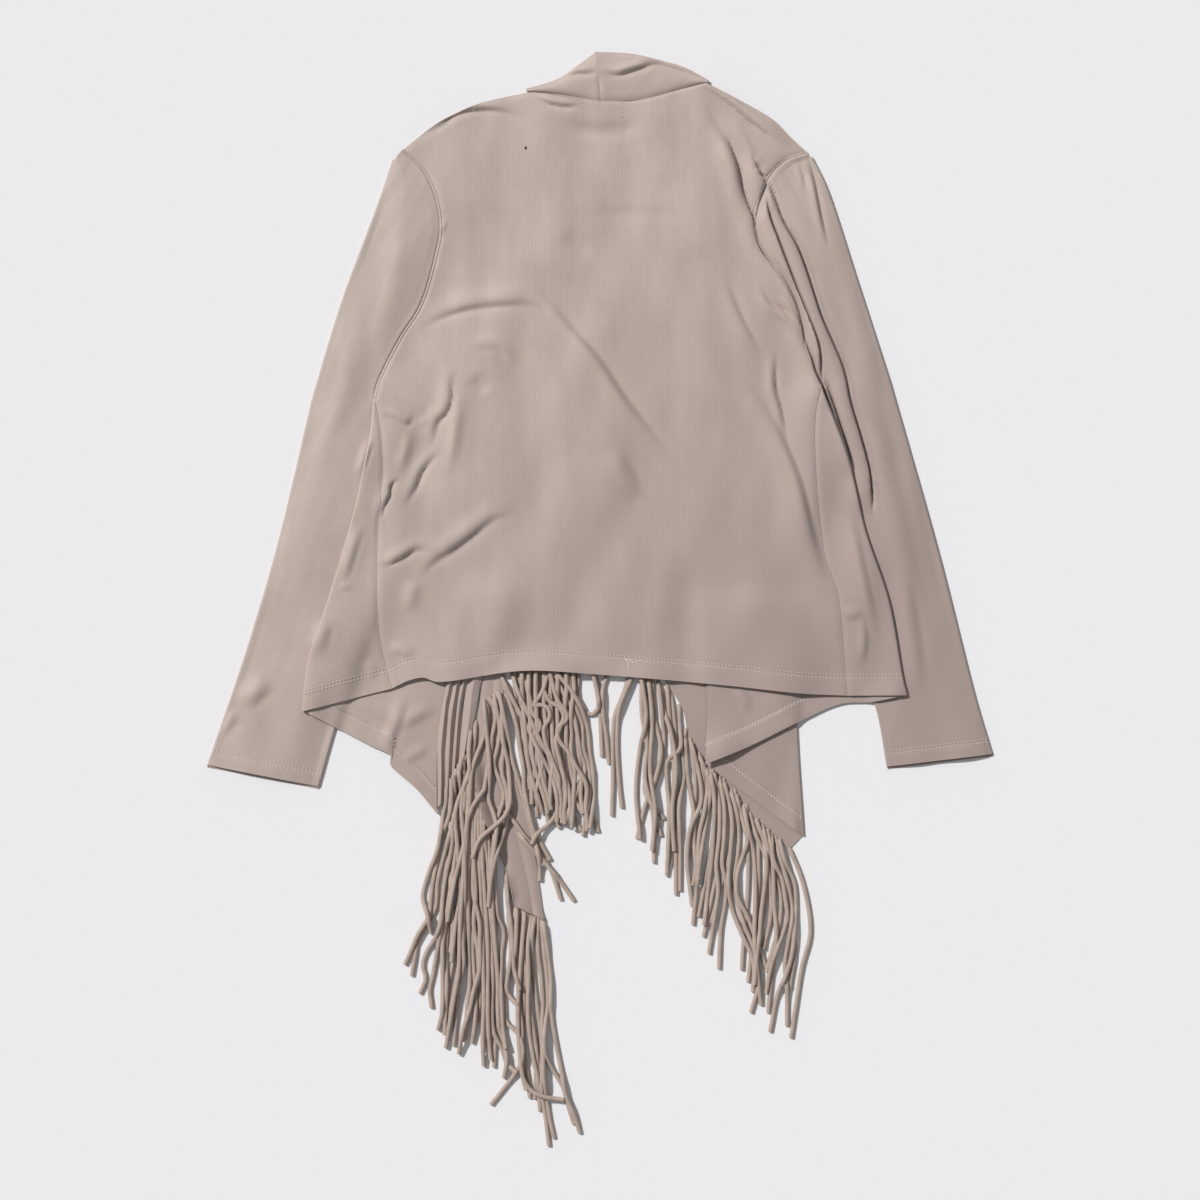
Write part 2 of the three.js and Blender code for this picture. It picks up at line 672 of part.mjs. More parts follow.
function cardigan() {
  const group = new THREE.Group();
  group.name = 'wrap_cardigan';
  group.add(...sleeves());
  const fringeNamed = (name) => fringe(fringes.find((row) => row.name === name));
  const addFringes = (...names) => group.add(...names.map(fringeNamed));
  const upper = [];
  group.add(rightDrape());
  addFringes('fringe_right_outer');
  upper.push(front('front_left', {
    edge: leftFrontEdge, armhole: armholeLeft, sideFold: leftSideFold, hem: leftFrontHem,
    shoulder: leftShoulder.toReversed(), seam: seamLeft, folds: leftFrontFolds,
  }));
  group.add(panel('front_left_inner', patch(
    straight(onPlan(innerLeft[0]), onPlan(innerRight[0]), steps.innerAcross),
    straight(...clothEdges.inner, steps.innerAcross),
    trace(innerLeft, steps.inner), trace(innerRight, steps.inner))));
  addFringes('fringe_left_inner', 'fringe_left_tail', 'fringe_left_under');
  group.add(pleated('front_left_tail', trace(tailLeft, steps.tail), trace(tailRight, steps.tail),
    (columns) => straight(...clothEdges.tail, columns), tailPleats));
  group.add(pleated('front_left_pleats', trace(pleatsLeft, steps.pleats),
    trace(pleatsRight, steps.pleats), (columns) => straight(...clothEdges.pleats, columns),
    sidePleats));
  addFringes('fringe_left_pleats', 'fringe_left_upper', 'fringe_inner_upper', 'fringe_centre',
    'fringe_right_upper');
  upper.push(
    front('front_right', {
      edge: rightFrontEdge, armhole: armholeRight, sideFold: rightSideFold, hem: rightFrontHem,
      shoulder: rightShoulder, seam: seamRight, folds: rightFrontFolds,
    }),
    collarHalf('collar_left', 0, steps.leftNeck, -seamGap / 2),
    collarHalf('collar_right', steps.leftNeck, steps.leftNeck + steps.rightNeck, seamGap / 2),
  );
  group.add(...upper.map((finish) => finish()));
  group.add(backPanel());
  return group;
}

const group = cardigan();
export default group;
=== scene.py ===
# %% [markdown]
# # A wrap cardigan laid flat on its front
#
# The real thing is a drape-front cardigan in a fine taupe jersey, with a shawl collar and long
# self-fabric cords along its front edges. It lies on a pale table with its back facing up. The
# CAD frame already holds each piece as a plain wall. Here each wall gets its real surface: soft
# creases, turned hems, stitches and a fringe of soft cords. Sizes of the cloth are in millimetres,
# and those of the camera and the table in metres.

# %% Load the CAD frame
import math

import bpy
import numpy as np
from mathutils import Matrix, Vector


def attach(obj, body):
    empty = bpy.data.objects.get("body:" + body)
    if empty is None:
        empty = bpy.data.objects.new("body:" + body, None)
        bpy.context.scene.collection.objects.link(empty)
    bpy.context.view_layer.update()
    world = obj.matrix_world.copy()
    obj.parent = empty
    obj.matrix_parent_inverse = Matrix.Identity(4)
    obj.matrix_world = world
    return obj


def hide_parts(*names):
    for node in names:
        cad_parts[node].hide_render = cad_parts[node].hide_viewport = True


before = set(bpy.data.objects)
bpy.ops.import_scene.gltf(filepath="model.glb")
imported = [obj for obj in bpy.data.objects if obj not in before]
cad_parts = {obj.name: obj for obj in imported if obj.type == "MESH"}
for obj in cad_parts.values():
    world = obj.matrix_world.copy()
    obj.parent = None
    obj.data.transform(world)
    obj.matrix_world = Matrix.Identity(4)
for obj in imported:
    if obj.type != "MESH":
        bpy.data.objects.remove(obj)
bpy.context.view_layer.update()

# %% [markdown]
# ## Camera, table and light
#
# The cardigan was photographed from straight above, with one window-like light from the upper
# left and a bright room. An 85 mm lens on a 36 mm sensor sees 1.2 m of table from 2.83 m up,
# which is the field that the lay plan below measures in millimetres. A sun lamp gives the thin
# crisp shadows and the world gives the even fill.

# %% Nodes and finishes
MIX_LOW = 6
MIX_HIGH = 7
MIX_RESULT = 2


def linear(hex_code):
    """The linear red, green, blue and alpha of an sRGB hex colour."""
    parts = [int(hex_code[i:i + 2], 16) / 255 for i in (1, 3, 5)]
    return [p / 12.92 if p <= 0.04045 else ((p + 0.055) / 1.055) ** 2.4 for p in parts] + [1.0]


def add_node(tree, kind, links=None, **settings):
    """Adds a node. Settings give its properties or its inputs by name, and links feed its inputs."""
    made = tree.nodes.new(kind)
    for name, value in settings.items():
        if hasattr(made, name):
            setattr(made, name, value)
        else:
            made.inputs[name.replace("_", " ")].default_value = value
    for name, source in (links or {}).items():
        tree.links.new(source, made.inputs[name])
    return made


def calculate(tree, operation, first, second):
    """The output of a Math node fed by two sockets."""
    return add_node(tree, "ShaderNodeMath", {0: first, 1: second}, operation=operation).outputs[0]


def mixed_colour(tree, factor, low, high):
    """A colour between low and high. Low is a hex colour or the output of another mix."""
    mix = add_node(tree, "ShaderNodeMix", {"Factor": factor}, data_type="RGBA")
    if isinstance(low, str):
        mix.inputs[MIX_LOW].default_value = linear(low)
    else:
        tree.links.new(low, mix.inputs[MIX_LOW])
    mix.inputs[MIX_HIGH].default_value = linear(high)
    return mix.outputs[MIX_RESULT]


def new_finish(name, **inputs):
    """A material and its Principled shader, with the shader's inputs set by name."""
    finish = bpy.data.materials.new(name)
    finish.use_nodes = True
    shader = finish.node_tree.nodes["Principled BSDF"]
    for label, value in inputs.items():
        shader.inputs[label.replace("_", " ")].default_value = value
    return finish, shader


# %% Camera, sun and table
LENS_MM = 85
SENSOR_MM = 36
FIELD = 1.2
CAMERA_HEIGHT = FIELD * LENS_MM / SENSOR_MM
SUN_TILT = math.radians(47)
SUN_TURN = math.radians(140)
SUN_SPREAD = math.radians(4)
SUN_STRENGTH = 3.27
SUN_COLOUR = (1.0, 0.985, 0.965)
ROOM_STRENGTH = 0.31
ROOM_COLOUR = (0.98, 0.985, 0.995, 1)
TABLE_SIDE = 12.0
TABLE_COLOUR = "#E9E9EC"

scene = bpy.context.scene
scene.view_settings.view_transform = "Standard"
camera_data = bpy.data.cameras.new("camera")
camera_data.lens = LENS_MM
camera_data.sensor_width = SENSOR_MM
camera = bpy.data.objects.new("camera", camera_data)
camera.location = (0, 0, CAMERA_HEIGHT)
scene.collection.objects.link(camera)
scene.camera = camera

sun_data = bpy.data.lights.new("window_sun", "SUN")
sun_data.energy = SUN_STRENGTH
sun_data.angle = SUN_SPREAD
sun_data.color = SUN_COLOUR
sun = bpy.data.objects.new("window_sun", sun_data)
toward_sun = Vector((math.cos(SUN_TURN) * math.sin(SUN_TILT), math.sin(SUN_TURN) * math.sin(SUN_TILT),
                     math.cos(SUN_TILT)))
sun.rotation_euler = toward_sun.to_track_quat("Z", "Y").to_euler()
scene.collection.objects.link(sun)

world = bpy.data.worlds.new("bright_room")
world.use_nodes = True
background = world.node_tree.nodes["Background"]
background.inputs["Color"].default_value = ROOM_COLOUR
background.inputs["Strength"].default_value = ROOM_STRENGTH
scene.world = world

table_mesh = bpy.data.meshes.new("table")
half = TABLE_SIDE / 2
table_mesh.from_pydata([(-half, -half, 0), (half, -half, 0), (half, half, 0), (-half, half, 0)], [],
                       [(0, 1, 2, 3)])
table = bpy.data.objects.new("table", table_mesh)
table_paint, _ = new_finish("matt_table_paint", Base_Color=linear(TABLE_COLOUR), Roughness=1.0,
                            Specular_IOR_Level=0.0)
table_mesh.materials.append(table_paint)
scene.collection.objects.link(table)
print("camera height", round(CAMERA_HEIGHT, 3), "m")

# %% [markdown]
# ## The lay plan
#
# A maker would chalk the outline of each piece on the table first. The plan is a 1200 mm square
# seen from above: across runs from its left edge and down runs from its top edge. Smooth curves
# go through a few measured places, and a Coons patch fills the cloth between four such lines,
# with its threads following them.

# %% Lines and patches on the plan
MIDDLE_ACROSS = 600.0
MIDDLE_DOWN = 599.5
CURVE_FINENESS = 24


def on_plan(rows):
    """Millimetres in the CAD frame, from places given as (across, down)."""
    rows = np.array(rows, dtype=float)
    return np.column_stack([rows[:, 0] - MIDDLE_ACROSS, MIDDLE_DOWN - rows[:, 1]])


def run_along(points):
    """How far along a line each of its points lies."""
    return np.concatenate([[0], np.cumsum(np.linalg.norm(np.diff(points, axis=0), axis=1))])


def run_across(grid):
    """How far along its own row each point of a grid lies."""
    steps = np.linalg.norm(np.diff(grid, axis=1), axis=2)
    return np.concatenate([np.zeros((len(grid), 1)), np.cumsum(steps, axis=1)], axis=1)


def evenly(points, count):
    """The line cut into equal steps along its length."""
    run = run_along(points)
    stops = np.linspace(0, run[-1], count + 1)
    return np.column_stack([np.interp(stops, run, points[:, k]) for k in range(points.shape[1])])


def smooth_line(points, fine=CURVE_FINENESS):
    """A centripetal Catmull-Rom curve through the points."""
    ends = np.vstack([2 * points[0] - points[1], points, 2 * points[-1] - points[-2]])
    dense = []
    for before, start, end, after in zip(ends, ends[1:], ends[2:], ends[3:]):
        gap_in, gap, gap_out = [math.sqrt(max(np.linalg.norm(b - a), 1e-6))
                                for a, b in ((before, start), (start, end), (end, after))]
        leave = ((start - before) / gap_in - (end - before) / (gap_in + gap) + (end - start) / gap) * gap
        reach = ((end - start) / gap - (after - start) / (gap + gap_out) + (after - end) / gap_out) * gap
        t = np.linspace(0, 1, fine, endpoint=False)[:, None]
        dense.append((2 * t ** 3 - 3 * t ** 2 + 1) * start + (t ** 3 - 2 * t ** 2 + t) * leave
                     + (3 * t ** 2 - 2 * t ** 3) * end + (t ** 3 - t ** 2) * reach)
    return np.vstack(dense + [points[-1:]])


def trace(rows, count):
    """A smooth line through places on the plan, in equal steps."""
    return evenly(smooth_line(on_plan(rows)), count)


def chain(*lines):
    """Lines joined end to start."""
    return np.vstack([line if i == 0 else line[1:] for i, line in enumerate(lines)])


def straight(start, end, count):
    t = np.linspace(0, 1, count + 1)[:, None]
    return start * (1 - t) + end * t


def to_right(points):
    """Unit vectors to the right of a line, looking along it."""
    along = np.gradient(points, axis=0)
    side = np.column_stack([along[:, 1], -along[:, 0]])
    return side / np.maximum(np.linalg.norm(side, axis=1, keepdims=True), 1e-9)


def outwards(edge, opposite):
    """Unit vectors that leave a piece squarely at an edge."""
    side = to_right(edge)
    facing = np.sign(np.sum(side * (edge - opposite), axis=1, keepdims=True))
    return side * np.where(facing == 0, 1, facing)


def patch(top, bottom, left, right):
    """Rows of points between four lines."""
    u = np.linspace(0, 1, len(top))[None, :, None]
    v = np.linspace(0, 1, len(left))[:, None, None]
    return (top[None] * (1 - v) + bottom[None] * v + left[:, None] * (1 - u) + right[:, None] * u
            - top[0] * (1 - u) * (1 - v) - top[-1] * u * (1 - v)
            - bottom[0] * (1 - u) * v - bottom[-1] * u * v)


# %% Curves that fade
def bell(distance, width):
    """1 at no distance, and almost nothing from two widths away."""
    return np.exp(-(distance / width) ** 2)


def ease(share):
    """From 0 to 1 with a soft start and a soft end."""
    share = np.clip(share, 0, 1)
    return share * share * (3 - 2 * share)


def step_down(distance, at, softness):
    """Falls from 1 to 0 where the distance passes a place."""
    return 1 / (1 + np.exp(np.clip((distance - at) / softness, -30, 30)))


# %% Outlines of every piece, and the steps that each kind of line is cut into
LINES = {
    "left_shoulder": [(401.5, 151), (438, 123), (480, 103.5), (529, 92)],
    "left_neck": [(529, 92), (560, 95), (601, 101)],
    "right_neck": [(601, 101), (642, 99), (682, 89), (706, 83)],
    "right_shoulder": [(706, 83), (720, 90), (773, 120), (791, 138), (807, 153)],
    "left_armhole": [(401.5, 151), (420, 167), (434, 193), (440, 228), (435, 256), (420, 305),
                     (400, 337), (377, 384), (374.5, 397)],
    "right_armhole": [(807, 153), (785, 161), (767, 181), (756, 218), (759, 241), (776, 268),
                      (790, 290), (800, 317), (806, 345), (819, 384)],
    "left_side_seam": [(374.5, 397), (381, 431), (383, 472), (378, 530), (380, 639), (392, 688)],
    "right_side_seam": [(819, 384), (814, 433), (824.5, 555), (837, 593), (847, 695)],
    "back_hem": [(392, 688), (409, 680), (424, 677), (437, 681), (524, 670), (600, 674), (728, 685),
                 (804, 693), (847, 695)],
    "left_side_fold": [(374.5, 397), (371, 432), (365, 464), (354, 513), (328, 601), (309, 660),
                       (303, 710)],
    "right_side_fold": [(819, 384), (847, 458), (865, 532), (888, 601), (902, 678), (906, 694)],
    "left_front_hem": [(438, 814), (417, 789), (401, 775), (390, 764), (391, 756), (366, 743),
                       (335, 727), (303, 710)],
    "left_front_edge": [(529, 92), (536, 150), (556, 260), (540, 450), (492, 600), (455, 700),
                        (438, 814)],
    "right_front_hem": [(705, 763), (750, 745), (797, 722), (842, 703), (872, 701), (906, 694)],
    "right_front_edge": [(706, 83), (700, 150), (680, 260), (690, 450), (706, 600), (708, 685),
                         (705, 763)],
    "drape_fringed_edge": [(640, 610), (650, 655), (667, 683), (683, 710), (689, 738), (705, 763),
                           (736, 793), (757, 820), (789, 849)],
    "drape_fold": [(797, 610), (797, 722), (804, 835)],
    "drape_inner_fold": [(703, 610), (706, 700), (705, 763)],
    "pleats_left": [(470, 590), (447, 681), (438, 741), (437, 808)],
    "pleats_right": [(508, 590), (482, 677), (478, 701), (470, 744)],
    "tail_left": [(484, 600), (480, 690), (474, 760), (482, 812), (498, 846), (508, 876), (515, 905)],
    "tail_right": [(520, 600), (503, 700), (516, 780), (532, 838), (540, 889), (544, 919)],
    "inner_left": [(556, 300), (545, 470), (512, 600), (508, 664)],
    "inner_right": [(610, 300), (622, 470), (634, 600), (636, 664)],
    "collar_left_roll": [(526, 89), (541, 85), (560, 78), (578, 65.5), (596, 52)],
    "collar_right_roll": [(596, 52), (631, 54), (662, 61), (685, 68), (709, 81)],
    "collar_left_facing": [(539, 106), (560, 116), (601, 126)],
    "collar_right_facing": [(601, 126), (650, 122), (701, 96)],
    "left_sleeve_top": [(393, 160), (378, 204), (342, 301), (312, 400)],
    "left_sleeve_outer": [(312, 400), (279, 540), (246, 652), (208, 764)],
    "left_sleeve_inner": [(374.5, 397), (398, 440), (404, 490), (392, 552), (366, 632), (335, 729),
                          (319, 786)],
    "right_sleeve_top": [(812, 157), (826, 186), (857, 280), (890, 382)],
    "right_sleeve_outer": [(890, 382), (939, 555), (976, 700), (992, 753)],
    "right_sleeve_inner": [(819, 384), (800, 430), (796, 480), (810, 545), (837, 622), (874, 701),
                           (887, 766)],
}
STEPS = {"shoulder": 52, "left_neck": 32, "right_neck": 48, "armhole": 98, "side": 118, "sleeve": 148,
         "sleeve_across": 88, "under": 84, "strip": 26, "drape_across": 50}
print(len(LINES), "outlines")

# %% [markdown]
# ## The pile
#
# Cloth on a table rests on whatever was laid before it. The pile is a 1 mm raster of how high
# the heap already is. Each new piece asks it for its height, softened as a limp knit would be,
# and is then added to it. This costs far less than a cloth simulation and never tears.

# %% Heights of the pile
CLOTH = 0.9
PLAN_SIDE = 1200
LAST_PLACE = PLAN_SIDE - 1.01
COVER_FINENESS = 4
pile = np.zeros((PLAN_SIDE, PLAN_SIDE))


def sample(field, xy):
    """Bilinear look-up of a raster at points in the CAD frame."""
    column = np.clip(xy[..., 0] + MIDDLE_ACROSS, 0, LAST_PLACE)
    row = np.clip(MIDDLE_DOWN - xy[..., 1], 0, LAST_PLACE)
    c = column.astype(int)
    r = row.astype(int)
    past_c = column - c
    past_r = row - r
    upper = field[r, c] * (1 - past_c) + field[r, c + 1] * past_c
    lower = field[r + 1, c] * (1 - past_c) + field[r + 1, c + 1] * past_c
    return upper * (1 - past_r) + lower * past_r


def spread(field, reach):
    """Each cell takes the highest value within reach."""
    for axis in (0, 1):
        still = field
        field = still.copy()
        for shift in range(1, reach + 1):
            field = np.maximum(field, np.roll(still, shift, axis))
            field = np.maximum(field, np.roll(still, -shift, axis))
    return field


def softened(field, reach, rounds=3):
    """Repeated moving averages, close to a Gaussian blur."""
    size = 2 * reach + 1
    for _ in range(rounds):
        for axis in (0, 1):
            moved = np.moveaxis(field, axis, 0)
            padded = np.concatenate([moved[:1].repeat(reach + 1, 0), moved, moved[-1:].repeat(reach, 0)])
            total = np.cumsum(padded, axis=0)
            field = np.moveaxis((total[size:] - total[:-size]) / size, 0, axis)
    return field


def resting(xy, reach=3, softness=3):
    """How high a limp piece lies at these points."""
    return sample(softened(spread(pile, reach), softness), xy)


def raise_pile(xy, top):
    """Raises the pile to at least this height at each point."""
    column = np.clip((xy[:, 0] + MIDDLE_ACROSS).astype(int), 0, PLAN_SIDE - 1)
    row = np.clip((MIDDLE_DOWN - xy[:, 1]).astype(int), 0, PLAN_SIDE - 1)
    np.maximum.at(pile, (row, column), top)


def cover(grid):
    """Adds the upper face of a grid of cloth to the pile."""
    for a in range(COVER_FINENESS):
        for b in range(COVER_FINENESS):
            u = a / COVER_FINENESS
            v = b / COVER_FINENESS
            points = (grid[:-1, :-1] * (1 - u) * (1 - v) + grid[1:, :-1] * u * (1 - v)
                      + grid[:-1, 1:] * (1 - u) * v + grid[1:, 1:] * u * v).reshape(-1, 3)
            raise_pile(points, points[:, 2] + CLOTH / 2)


# %% [markdown]
# ## Creases
#
# The tables below give each crease its kind, its width and height in millimetres, and its line on
# the plan. A roll stands on the side of the line that the light comes from, so that its steep side
# holds the shadow. A fold is a roll with a groove along its line. A tuck is a fold so deep that a
# narrow slit takes the groove's place, and the threads beside it are drawn in to it. A ridge is
# even on both sides, and a trough sinks. All upper pieces share one table, so a crease crosses a
# seam unbroken.

# %% Crease tables
UPPER_CREASES = [
    ("tuck", 9, 3.4, [(749, 148), (759, 169), (767, 182), (774, 195), (783, 220), (797, 246), (805, 266),
                      (811, 284), (821, 315), (831, 338), (841, 361), (846, 378), (850, 399), (856, 420),
                      (860, 433), (870, 473), (873, 517)]),
    ("tuck", 7, 2.6, [(765, 189), (770, 216), (778, 238), (786, 259), (798, 290), (811, 322), (819, 345),
                      (821, 362), (821, 379), (825, 397), (834, 420)]),
    ("fold", 9, 2.4, [(704, 96), (715, 121), (728, 140), (738, 165), (744, 193), (753, 222)]),
    ("tuck", 8, 3.0, [(724, 134), (731, 146), (738, 165), (744, 193), (754, 218), (759, 243),
                      (765, 255), (776, 268), (790, 290), (800, 317), (805, 341), (812, 357), (820, 383)]),
    ("fold", 3, 1.0, [(784, 290), (794, 312), (806, 334)]),
    ("tuck", 5, 2.0, [(822, 372), (828, 388), (838, 418), (848, 450), (856, 478)]),
    ("fold", 4, 2.6, [(808, 152), (811, 166), (815, 183), (823, 223), (830, 252)]),
    ("fold", 3, 1.0, [(797, 160), (803, 176), (807, 190)]),
    ("fold", 3, 0.8, [(776, 304), (792, 321), (803, 338)]),
    ("roll", 4, 1.8, [(731, 114), (742, 130), (751, 145), (760, 165), (768, 186)]),
    ("fold", 5, 2.0, [(760, 282), (764, 292), (772, 304), (786, 312), (798, 328)]),
    ("fold", 8, 2.0, [(726, 276), (744, 319), (765, 357)]),
    ("fold", 5, 3.0, [(776, 346), (776, 387), (782, 410), (789, 447)]),
    ("fold", 10, 4.0, [(742, 366), (753, 387), (773, 415), (789, 448), (801, 479), (812, 522), (823, 563),
                       (837, 606)]),
    ("fold", 5, 3.4, [(690, 82), (698, 87), (710, 92), (728, 104), (746, 119), (769, 137), (790, 152)]),
    ("fold", 4, 1.4, [(710, 88), (733, 98), (759, 114), (784, 132), (803, 150)]),
    ("fold", 7, 2.8, [(458, 364), (453, 382), (452, 403), (446, 415), (439, 422), (435, 439), (428, 450)]),
    ("fold", 6, 2.4, [(443, 450), (432, 460), (423, 472), (416, 489), (404, 508)]),
    ("ridge", 6, 2.8, [(459, 385), (457, 415), (452, 452), (448, 482)]),
    ("ridge", 5, 2.0, [(412, 425), (406, 450), (398, 476)]),
    ("tuck", 5, 2.4, [(402, 481), (393, 484), (391, 495), (386, 506), (383, 520)]),
    ("roll", 4, 2.4, [(379, 441), (372, 447), (369, 455), (362, 480)]),
    ("fold", 6, 2.6, [(375, 564), (389, 565), (404, 558), (417, 550), (434, 553)]),
    ("fold", 9, 3.4, [(418, 582), (435, 563), (455, 550), (475, 535), (496, 519), (518, 515)]),
    ("ridge", 7, 2.4, [(417, 575), (412, 594), (409, 614)]),
    ("roll", 7, 2.4, [(333, 619), (322, 657)]),
    ("roll", 5, 2.0, [(366, 520), (356, 552), (344, 590)]),
    ("roll", 3, 1.2, [(338, 588), (353, 590)]),
    ("fold", 4, 2.2, [(379, 412), (395, 418), (409, 425), (414, 410)]),
    ("roll", 3, 1.2, [(417, 424), (424, 425), (430, 422)]),
    ("fold", 5, 3.6, [(412, 142), (425, 134), (440, 126.5), (455, 116), (473, 111), (491, 110.5),
                      (506, 112.5), (526, 119)]),
    ("fold", 4, 2.4, [(534, 95), (547, 103.5), (567, 107.5), (582, 105)]),
    ("fold", 3, 1.6, [(533, 92), (550, 95), (570, 100), (584, 103)]),
    ("trough", 8, 2.6, [(546, 110), (572, 127), (603, 132), (632, 128), (652, 122)]),
    ("fold", 9, 2.4, [(414, 332), (445, 317), (475, 309), (506, 306), (530, 306), (552, 314)]),
    ("fold", 9, 4.4, [(520, 262), (541, 288), (570, 323), (600, 357), (625, 394), (651, 428), (690, 476)]),
    ("trough", 9, 1.8, [(561, 232), (594, 258)]),
    ("roll", 9, 2.8, [(615, 443), (630, 470), (646, 499)]),
    ("roll", 3, 1.4, [(448, 220), (443, 237)]),
    ("trough", 7, 0.9, [(563, 217), (630, 214), (706, 217)]),
    ("trough", 9, 2.0, [(472, 374), (488, 396)]),
    ("roll", 6, 1.6, [(468, 352), (486, 346), (500, 350), (512, 372)]),
    ("roll", 5, 1.6, [(372, 656), (376, 668), (380, 678)]),
    ("roll", 6, 2.0, [(387, 652), (400, 654), (413, 660)]),
    ("roll", 9, 3.4, [(250, 713), (256, 701), (276, 683)]),
    ("roll", 8, 2.6, [(222, 738), (232, 724), (243, 713)]),
    ("ridge", 12, 1.8, [(372, 290), (346, 380), (318, 470), (300, 540)]),
    ("ridge", 10, 1.8, [(402, 200), (396, 270), (372, 350)]),
    ("roll", 12, 2.4, [(858, 330), (886, 440), (912, 560), (930, 650)]),
    ("ridge", 10, 1.8, [(836, 250), (862, 340), (884, 430)]),
    ("roll", 8, 2.4, [(905, 560), (918, 640), (925, 700)]),
    ("roll", 5, 2.2, [(851, 500), (858, 540), (866, 580), (880, 640)]),
    ("roll", 4, 1.8, [(862, 610), (866, 640), (862, 668)]),
    ("roll", 5, 1.8, [(838, 610), (852, 618), (866, 612)]),
]
LOWER_CREASES = [
    ("roll", 6, 2.2, [(398, 731), (410, 724), (424, 717), (440, 714)]),
    ("roll", 5, 1.8, [(404, 765), (415, 758), (432, 752)]),
    ("roll", 6, 2.4, [(408, 690), (403, 715), (395, 738), (388, 762)]),
    ("roll", 7, 1.2, [(345, 700), (372, 716), (398, 724)]),
    ("roll", 5, 1.6, [(735, 680), (748, 696), (754, 712)]),
    ("roll", 8, 1.2, [(760, 690), (786, 700), (790, 720)]),
]

# %% Crease shapes
FOLD_FADE = 0.42
TUCK_FADE_LENGTH = 30.0
CREASE_REACH = 4
CREASE_FINENESS = 8
STEPS_PER_PLACE = 4
LEAST_STEPS = 6
ROLL_MIDDLE = 0.9
ROLL_SPREAD = 1.1
HOLLOW_MIDDLE = -0.4
HOLLOW_SPREAD = 0.6
HOLLOW_SHARE = 0.3
GROOVE_DEPTH = 2.8
GROOVE_WIDTH = 2.3
GROOVE_SHARE = 0.36
FULL_GROOVE_AT = 2.8
SLIT_DEPTH = 6.0
SLIT_WIDTH = 1.5
SLIT_SQUARENESS = 4
WARP_REACH = 9.0
WARP_TIGHTNESS = 0.55


def beside(line, spots):
    """For each spot: its offset from the nearest place on the line, its side, and its share of the run."""
    starts = line[:-1]
    runs = np.diff(line, axis=0)
    offset = spots[:, None] - starts[None]
    share = np.clip(np.sum(offset * runs, axis=2) / np.sum(runs * runs, axis=1), 0, 1)
    gap = offset - share[..., None] * runs
    nearest = np.argmin(np.linalg.norm(gap, axis=2), axis=1)
    pick = np.arange(len(spots))
    gap = gap[pick, nearest]
    run = runs[nearest]
    whole = line[-1] - line[0]
    lit_side = np.sign(toward_sun[0] * whole[1] - toward_sun[1] * whole[0]) or 1
    side = np.sign(gap[:, 0] * run[:, 1] - gap[:, 1] * run[:, 0]) * lit_side
    along = (nearest + share[pick, nearest]) / len(runs)
    return gap, side, np.minimum(along, 1 - along)


def fade_share(kind, line):
    """The share of a crease over which it dies out at each end."""
    if kind != "tuck":
        return FOLD_FADE
    return min(FOLD_FADE, TUCK_FADE_LENGTH / run_along(line)[-1])


def crease_line(rows):
    """The line of one crease, from its places on the plan."""
    return evenly(smooth_line(on_plan(rows), CREASE_FINENESS), max(LEAST_STEPS, STEPS_PER_PLACE * len(rows)))


def close_to(line, flat, reach):
    """Which points lie near the box round a line."""
    return np.all((flat > line.min(0) - reach) & (flat < line.max(0) + reach), axis=1)


def drawn_in(xy):
    """Draws the threads of a grid towards the upper tucks, so that a narrow slit keeps its shape."""
    flat = xy.reshape(-1, 2).copy()
    for kind, _, _, rows in UPPER_CREASES:
        line = crease_line(rows)
        near = close_to(line, flat, WARP_REACH)
        if kind != "tuck" or not near.any():
            continue
        gap, _, along = beside(line, flat[near])
        share = np.linalg.norm(gap, axis=1) / WARP_REACH
        pull = (1 - np.clip(share, 0, 1) ** WARP_TIGHTNESS) * ease(along / fade_share(kind, line))
        flat[near] -= gap * pull[:, None]
    return flat.reshape(xy.shape)


def crease_height(xy, creases):
    """Millimetres that the creases add at these points."""
    flat = xy.reshape(-1, 2)
    total = np.zeros(len(flat))
    for kind, width, height, rows in creases:
        line = crease_line(rows)
        near = close_to(line, flat, CREASE_REACH * width)
        if not near.any():
            continue
        gap, side, along = beside(line, flat[near])
        fade = ease(along / fade_share(kind, line))
        reach = np.linalg.norm(gap, axis=1)
        signed = side * reach / width
        if kind in ("ridge", "trough"):
            shape = bell(reach, width) * (1 if kind == "ridge" else -1)
        else:
            shape = (bell(signed - ROLL_MIDDLE, ROLL_SPREAD)
                     - HOLLOW_SHARE * bell(signed - HOLLOW_MIDDLE, HOLLOW_SPREAD))
        total[near] += height * shape * fade
        if kind == "tuck":
            total[near] -= SLIT_DEPTH * np.exp(-(reach / SLIT_WIDTH) ** SLIT_SQUARENESS) * fade
        if kind == "fold":
            depth = GROOVE_DEPTH * min(1.0, height / FULL_GROOVE_AT)
            total[near] -= depth * bell(reach, max(GROOVE_WIDTH, GROOVE_SHARE * width)) * fade
    return total.reshape(xy.shape[:-1])


# %% Slow swell of the cloth
SWELL_COUNT = 26
SWELL_STEEPNESS = 0.0025
SWELL_LENGTHS = (36, 150)
SWELL_TURNS = (-0.15, 0.42)
swell_luck = np.random.default_rng(11)
SWELLS = np.column_stack([swell_luck.uniform(*SWELL_LENGTHS, SWELL_COUNT),
                          swell_luck.normal(*SWELL_TURNS, SWELL_COUNT),
                          swell_luck.uniform(0, 2 * math.pi, SWELL_COUNT)])


def slack(xy):
    """The slow swell of a limp knit, longer down the grain than across it."""
    total = np.zeros(xy.shape[:-1])
    for length, turn, phase in SWELLS:
        run = xy[..., 0] * math.cos(turn) + xy[..., 1] * math.sin(turn)
        total += SWELL_STEEPNESS * length * np.sin(2 * math.pi * run / length + phase)
    return total


